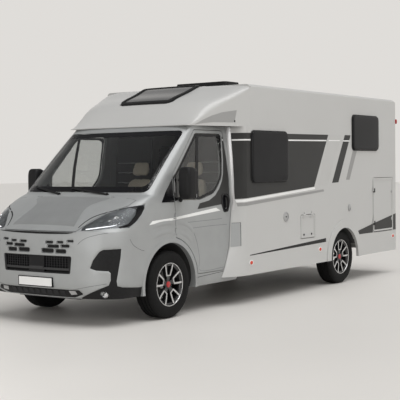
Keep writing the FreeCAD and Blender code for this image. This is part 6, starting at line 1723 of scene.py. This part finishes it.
class MOTORHOME_OT_inside(bpy.types.Operator):
    """Make the padded seats, the steering wheel and the dashboard's fittings"""
    bl_idname = "motorhome.inside"
    bl_label = "Inside"

    def execute(self, context):
        self.make_seat()
        self.make_steering_wheel()
        self.make_partition()
        self.make_dashboard()
        return {"FINISHED"}

    def add_pad(self, bm, half_across, half_up, thick, place, corner, crown, taper=0.0):
        """A crowned closed form with soft edges. place(u, v, w) sets it in space, w is its thickness."""
        rings = []
        for inset, w in ((0.030, 0.0), (0.010, 0.008), (0.0, 0.030), (0.0, thick * 0.62), (0.012, thick * 0.86),
                         (0.040, thick), (0.110, thick + crown)):
            inset = min(inset, half_across * 0.8, half_up * 0.8)
            a = half_across - inset
            b = half_up - inset
            outline = rounded([(-a, -b), (a, -b), (a - taper, b), (-a + taper, b)], max(0.012, corner - inset * 0.5), 6)
            rings.append([bm.verts.new(place(u, v, w)) for u, v in outline])
        join_rings(bm, rings, capped=True)
        bmesh.ops.recalc_face_normals(bm, faces=bm.faces)

    def swollen(self, name, bm, held, floor=None):
        """A pad filled by cloth pressure, sewn down where held says so. The result is a plain mesh."""
        scene = bpy.context.scene
        pads = scene.motorhome_pads
        mesh = bpy.data.meshes.new(name + "_start")
        bm.to_mesh(mesh)
        bm.free()
        start = bpy.data.objects.new(name + "_start", mesh)
        scene.collection.objects.link(start)
        cells = start.modifiers.new("cells", "REMESH")
        cells.mode = "VOXEL"
        cells.voxel_size = pads.cell
        graph = bpy.context.evaluated_depsgraph_get()
        even = bpy.data.meshes.new_from_object(start.evaluated_get(graph))
        start.modifiers.clear()
        start.data = even
        before = [v.co.copy() for v in even.vertices]
        after = before
        sewn = start.vertex_groups.new(name="sewn")
        sewn.add([i for i, co in enumerate(before) if held(co)], 1.0, "REPLACE")
        cloth = start.modifiers.new("fill", "CLOTH")
        for value, amount in CLOTH.items():
            setattr(cloth.settings, value, amount)
        cloth.settings.use_pressure = True
        cloth.settings.uniform_pressure_force = pads.pressure
        cloth.settings.vertex_group_mass = "sewn"
        cloth.settings.effector_weights.gravity = 0.0
        cloth.point_cache.frame_start = 1
        cloth.point_cache.frame_end = pads.frames
        for step in range(1, pads.frames + 1):
            scene.frame_set(step)
        graph = bpy.context.evaluated_depsgraph_get()
        filled = bpy.data.meshes.new_from_object(start.evaluated_get(graph))
        after = [v.co.copy() for v in filled.vertices]
        scene.frame_set(1)
        start.modifiers.clear()
        out = even.copy()
        for vert, a, b in zip(out.vertices, before, after):
            move = b - a
            if move.length > pads.swell:
                move = move.normalized() * pads.swell
            place = a + move
            if floor is not None:
                place.z = max(place.z, floor)
            vert.co = place
        out.name = name
        bpy.data.objects.remove(start)
        return out

    def make_seat(self):
        """Cushion, back and headrest of one seat, and the same pads for the other."""
        foot = Vector((at(BACK_FOOT[0]), SEAT_Y, BACK_FOOT[1]))
        top = Vector((at(REST_TOP[0]), SEAT_Y, REST_TOP[1]))
        up = Vector((-math.sin(BACK_LEAN), 0, math.cos(BACK_LEAN)))
        ahead = Vector((math.cos(BACK_LEAN), 0, math.sin(BACK_LEAN)))
        across = Vector((0, 1, 0))

        def on_back(u, v, w):
            return foot + across * u + up * (v + 0.337) + ahead * (w - 0.046)

        def on_seat(u, v, w):
            return Vector((at(CUSHION[0]) + v, SEAT_Y + u, CUSHION[1] + w))

        def on_rest(u, v, w):
            return top + across * u + up * v + ahead * (w - 0.032)

        def seam_on_seat(co):
            return co.z < 0.797 or (co.z > 0.86 and 0.125 < abs(co.y - SEAT_Y) < 0.139)

        def seam_on_back(co):
            depth = (co - foot).dot(ahead)
            return depth < -0.040 or (depth > 0.02 and 0.118 < abs(co.y - SEAT_Y) < 0.132)

        def seam_on_rest(co):
            return (co - top).dot(ahead) < -0.028

        pads = []
        for label, size, place, held, floor, seams in (
                ("cushion", CUSHION_PAD, on_seat, seam_on_seat, 0.7908, 0.132),
                ("back", BACK_PAD, on_back, seam_on_back, None, 0.125),
                ("headrest", REST_PAD, on_rest, seam_on_rest, None, None)):
            bm = bmesh.new()
            half_across, half_up, thick, corner, crown, taper = size
            self.add_pad(bm, half_across, half_up, thick, place, corner, crown, taper)
            pads.append((label, self.swollen("seat_" + label, bm, held, floor), seams))
        for name, side in SIDES:
            sewing = bmesh.new()
            for label, mesh, seams in pads:
                mesh = mesh.copy()
                if side == RIGHT:
                    for vert in mesh.vertices:
                        vert.co.y = -vert.co.y
                    mesh.flip_normals()
                points = [v.co.copy() for v in mesh.vertices]
                skin = BVHTree.FromPolygons(points, [list(f.vertices) for f in mesh.polygons])
                piece = placed(mesh, f"seat_{label}_{name}", "cream_cloth", "body", 80.0, ("seat_cushions",))
                smoother = piece.modifiers.new("soft_shape", "SUBSURF")
                smoother.levels = 1
                smoother.render_levels = 1
                for offset in (-seams, seams) if seams else ():
                    self.add_seam(sewing, skin, label, side * (SEAT_Y + offset))
            finished(sewing, "seat_seams_" + name, "dark_cloth", "body")

    def add_seam(self, bm, skin, label, y):
        """A sewn line along a cushion from above, or up a seat's back from ahead."""
        path = []
        for k in range(SEAM_POINTS):
            if label == "cushion":
                start, way = (at(-1.135 + 0.385 * k / (SEAM_POINTS - 1)), y, 2.0), (0, 0, -1)
            else:
                start, way = (at(0.0), y, 0.985 + 0.44 * k / (SEAM_POINTS - 1)), (-1, 0, 0)
            hit = skin.ray_cast(Vector(start), Vector(way))[0]
            if hit is not None:
                path.append(hit)
        add_tube(bm, path, 0.0035)

    def make_steering_wheel(self):
        """The rim with two spokes, a soft middle and the column."""
        x, y, z = STEERING
        centre = Vector((at(x), y, z))
        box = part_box("steering_wheel")
        radius = (box[1][1] - box[0][1]) / 2 - 0.016
        tilt = Vector((0.906, 0.0, -0.423)).normalized()
        across = Vector((0, 1, 0))
        up = across.cross(tilt)
        bm = bmesh.new()
        ring = [centre + across * radius * math.cos(2 * math.pi * k / 56) + up * radius * math.sin(2 * math.pi * k / 56)
                for k in range(57)]
        add_tube(bm, ring, 0.0155, 12)
        for way in (-1, 1):
            add_tube(bm, smooth_path([centre + across * way * 0.05, centre + across * way * 0.12 + tilt * 0.012,
                                      centre + across * way * radius], 4), 0.014, 10, 0.6)
        add_tube(bm, [centre - up * radius * way for way in (0.2, 1.0)], 0.013, 10)
        add_pillow(bm, tuple(centre), (0.035, 0.075, 0.062), 3.0, 12, 30)
        add_tube(bm, [centre, centre + tilt * radius * 1.5], 0.030, 16)
        finished(bm, "steering_wheel_trim", "dash_plastic", "body", 50.0, ("steering_wheel",))

    def make_partition(self):
        """Dark trim boards behind the seats, each with pale rails."""
        bm = bmesh.new()
        rails = bmesh.new()
        for side in (LEFT, RIGHT):
            outline = rounded([(side * y, z) for y, z in PARTITION], 0.05, 6)
            add_prism(bm, outline, front_place(at(-1.400)), (0.022, 0, 0))
            for z in PARTITION_RAILS:
                add_rod(rails, (at(-1.370), side * 0.34, z), (at(-1.370), side * 0.88, z), 0.006, 10)
        finished(bm, "cab_partition", "dark_cloth", "body")
        finished(rails, "partition_rails", "pale_plastic", "body")

    def make_dashboard(self):
        """A visor over the instruments, and a screen."""
        dash = Skin("dashboard")
        top = dash.drop((at(-0.30), SEAT_Y, 4.0), (0, 0, -1)).z
        for name, kind, ((x, y, rise), half), power in (
                ("instrument_visor", "dash_plastic", VISOR, 3.0), ("centre_screen", "gloss_black", SCREEN, 6.0)):
            bm = bmesh.new()
            add_pillow(bm, (at(x), y, top + rise), half, power, 12)
            finished(bm, name, kind, "body", SOFT_CREASE)


class MOTORHOME_PT_panel(bpy.types.Panel):
    """Lists the motorhome's makers"""
    bl_label = "Motorhome"
    bl_idname = "MOTORHOME_PT_panel"
    bl_space_type = "VIEW_3D"
    bl_region_type = "UI"
    bl_category = "Motorhome"

    def draw(self, context):
        for maker in MAKERS:
            self.layout.operator(maker.bl_idname)


MAKERS = (MOTORHOME_OT_stage, MOTORHOME_OT_bodywork, MOTORHOME_OT_markings, MOTORHOME_OT_wheels, MOTORHOME_OT_front,
          MOTORHOME_OT_glazing, MOTORHOME_OT_sides, MOTORHOME_OT_roof, MOTORHOME_OT_inside)
SETTINGS = (StageSettings, PaintSettings, PadSettings)
CLASSES = SETTINGS + MAKERS + (MOTORHOME_PT_panel,)


def register():
    """Registers the classes and their settings."""
    for cls in CLASSES:
        bpy.utils.register_class(cls)
    bpy.types.Scene.motorhome_stage = bpy.props.PointerProperty(type=StageSettings)
    bpy.types.Scene.motorhome_paint = bpy.props.PointerProperty(type=PaintSettings)
    bpy.types.Scene.motorhome_pads = bpy.props.PointerProperty(type=PadSettings)


def unregister():
    """Takes them back."""
    del bpy.types.Scene.motorhome_pads
    del bpy.types.Scene.motorhome_paint
    del bpy.types.Scene.motorhome_stage
    for cls in reversed(CLASSES):
        bpy.utils.unregister_class(cls)


def main():
    """Makes everything in order."""
    register()
    for maker in MAKERS:
        group, name = maker.bl_idname.split(".")
        getattr(getattr(bpy.ops, group), name)()


if __name__ == "__main__":
    main()
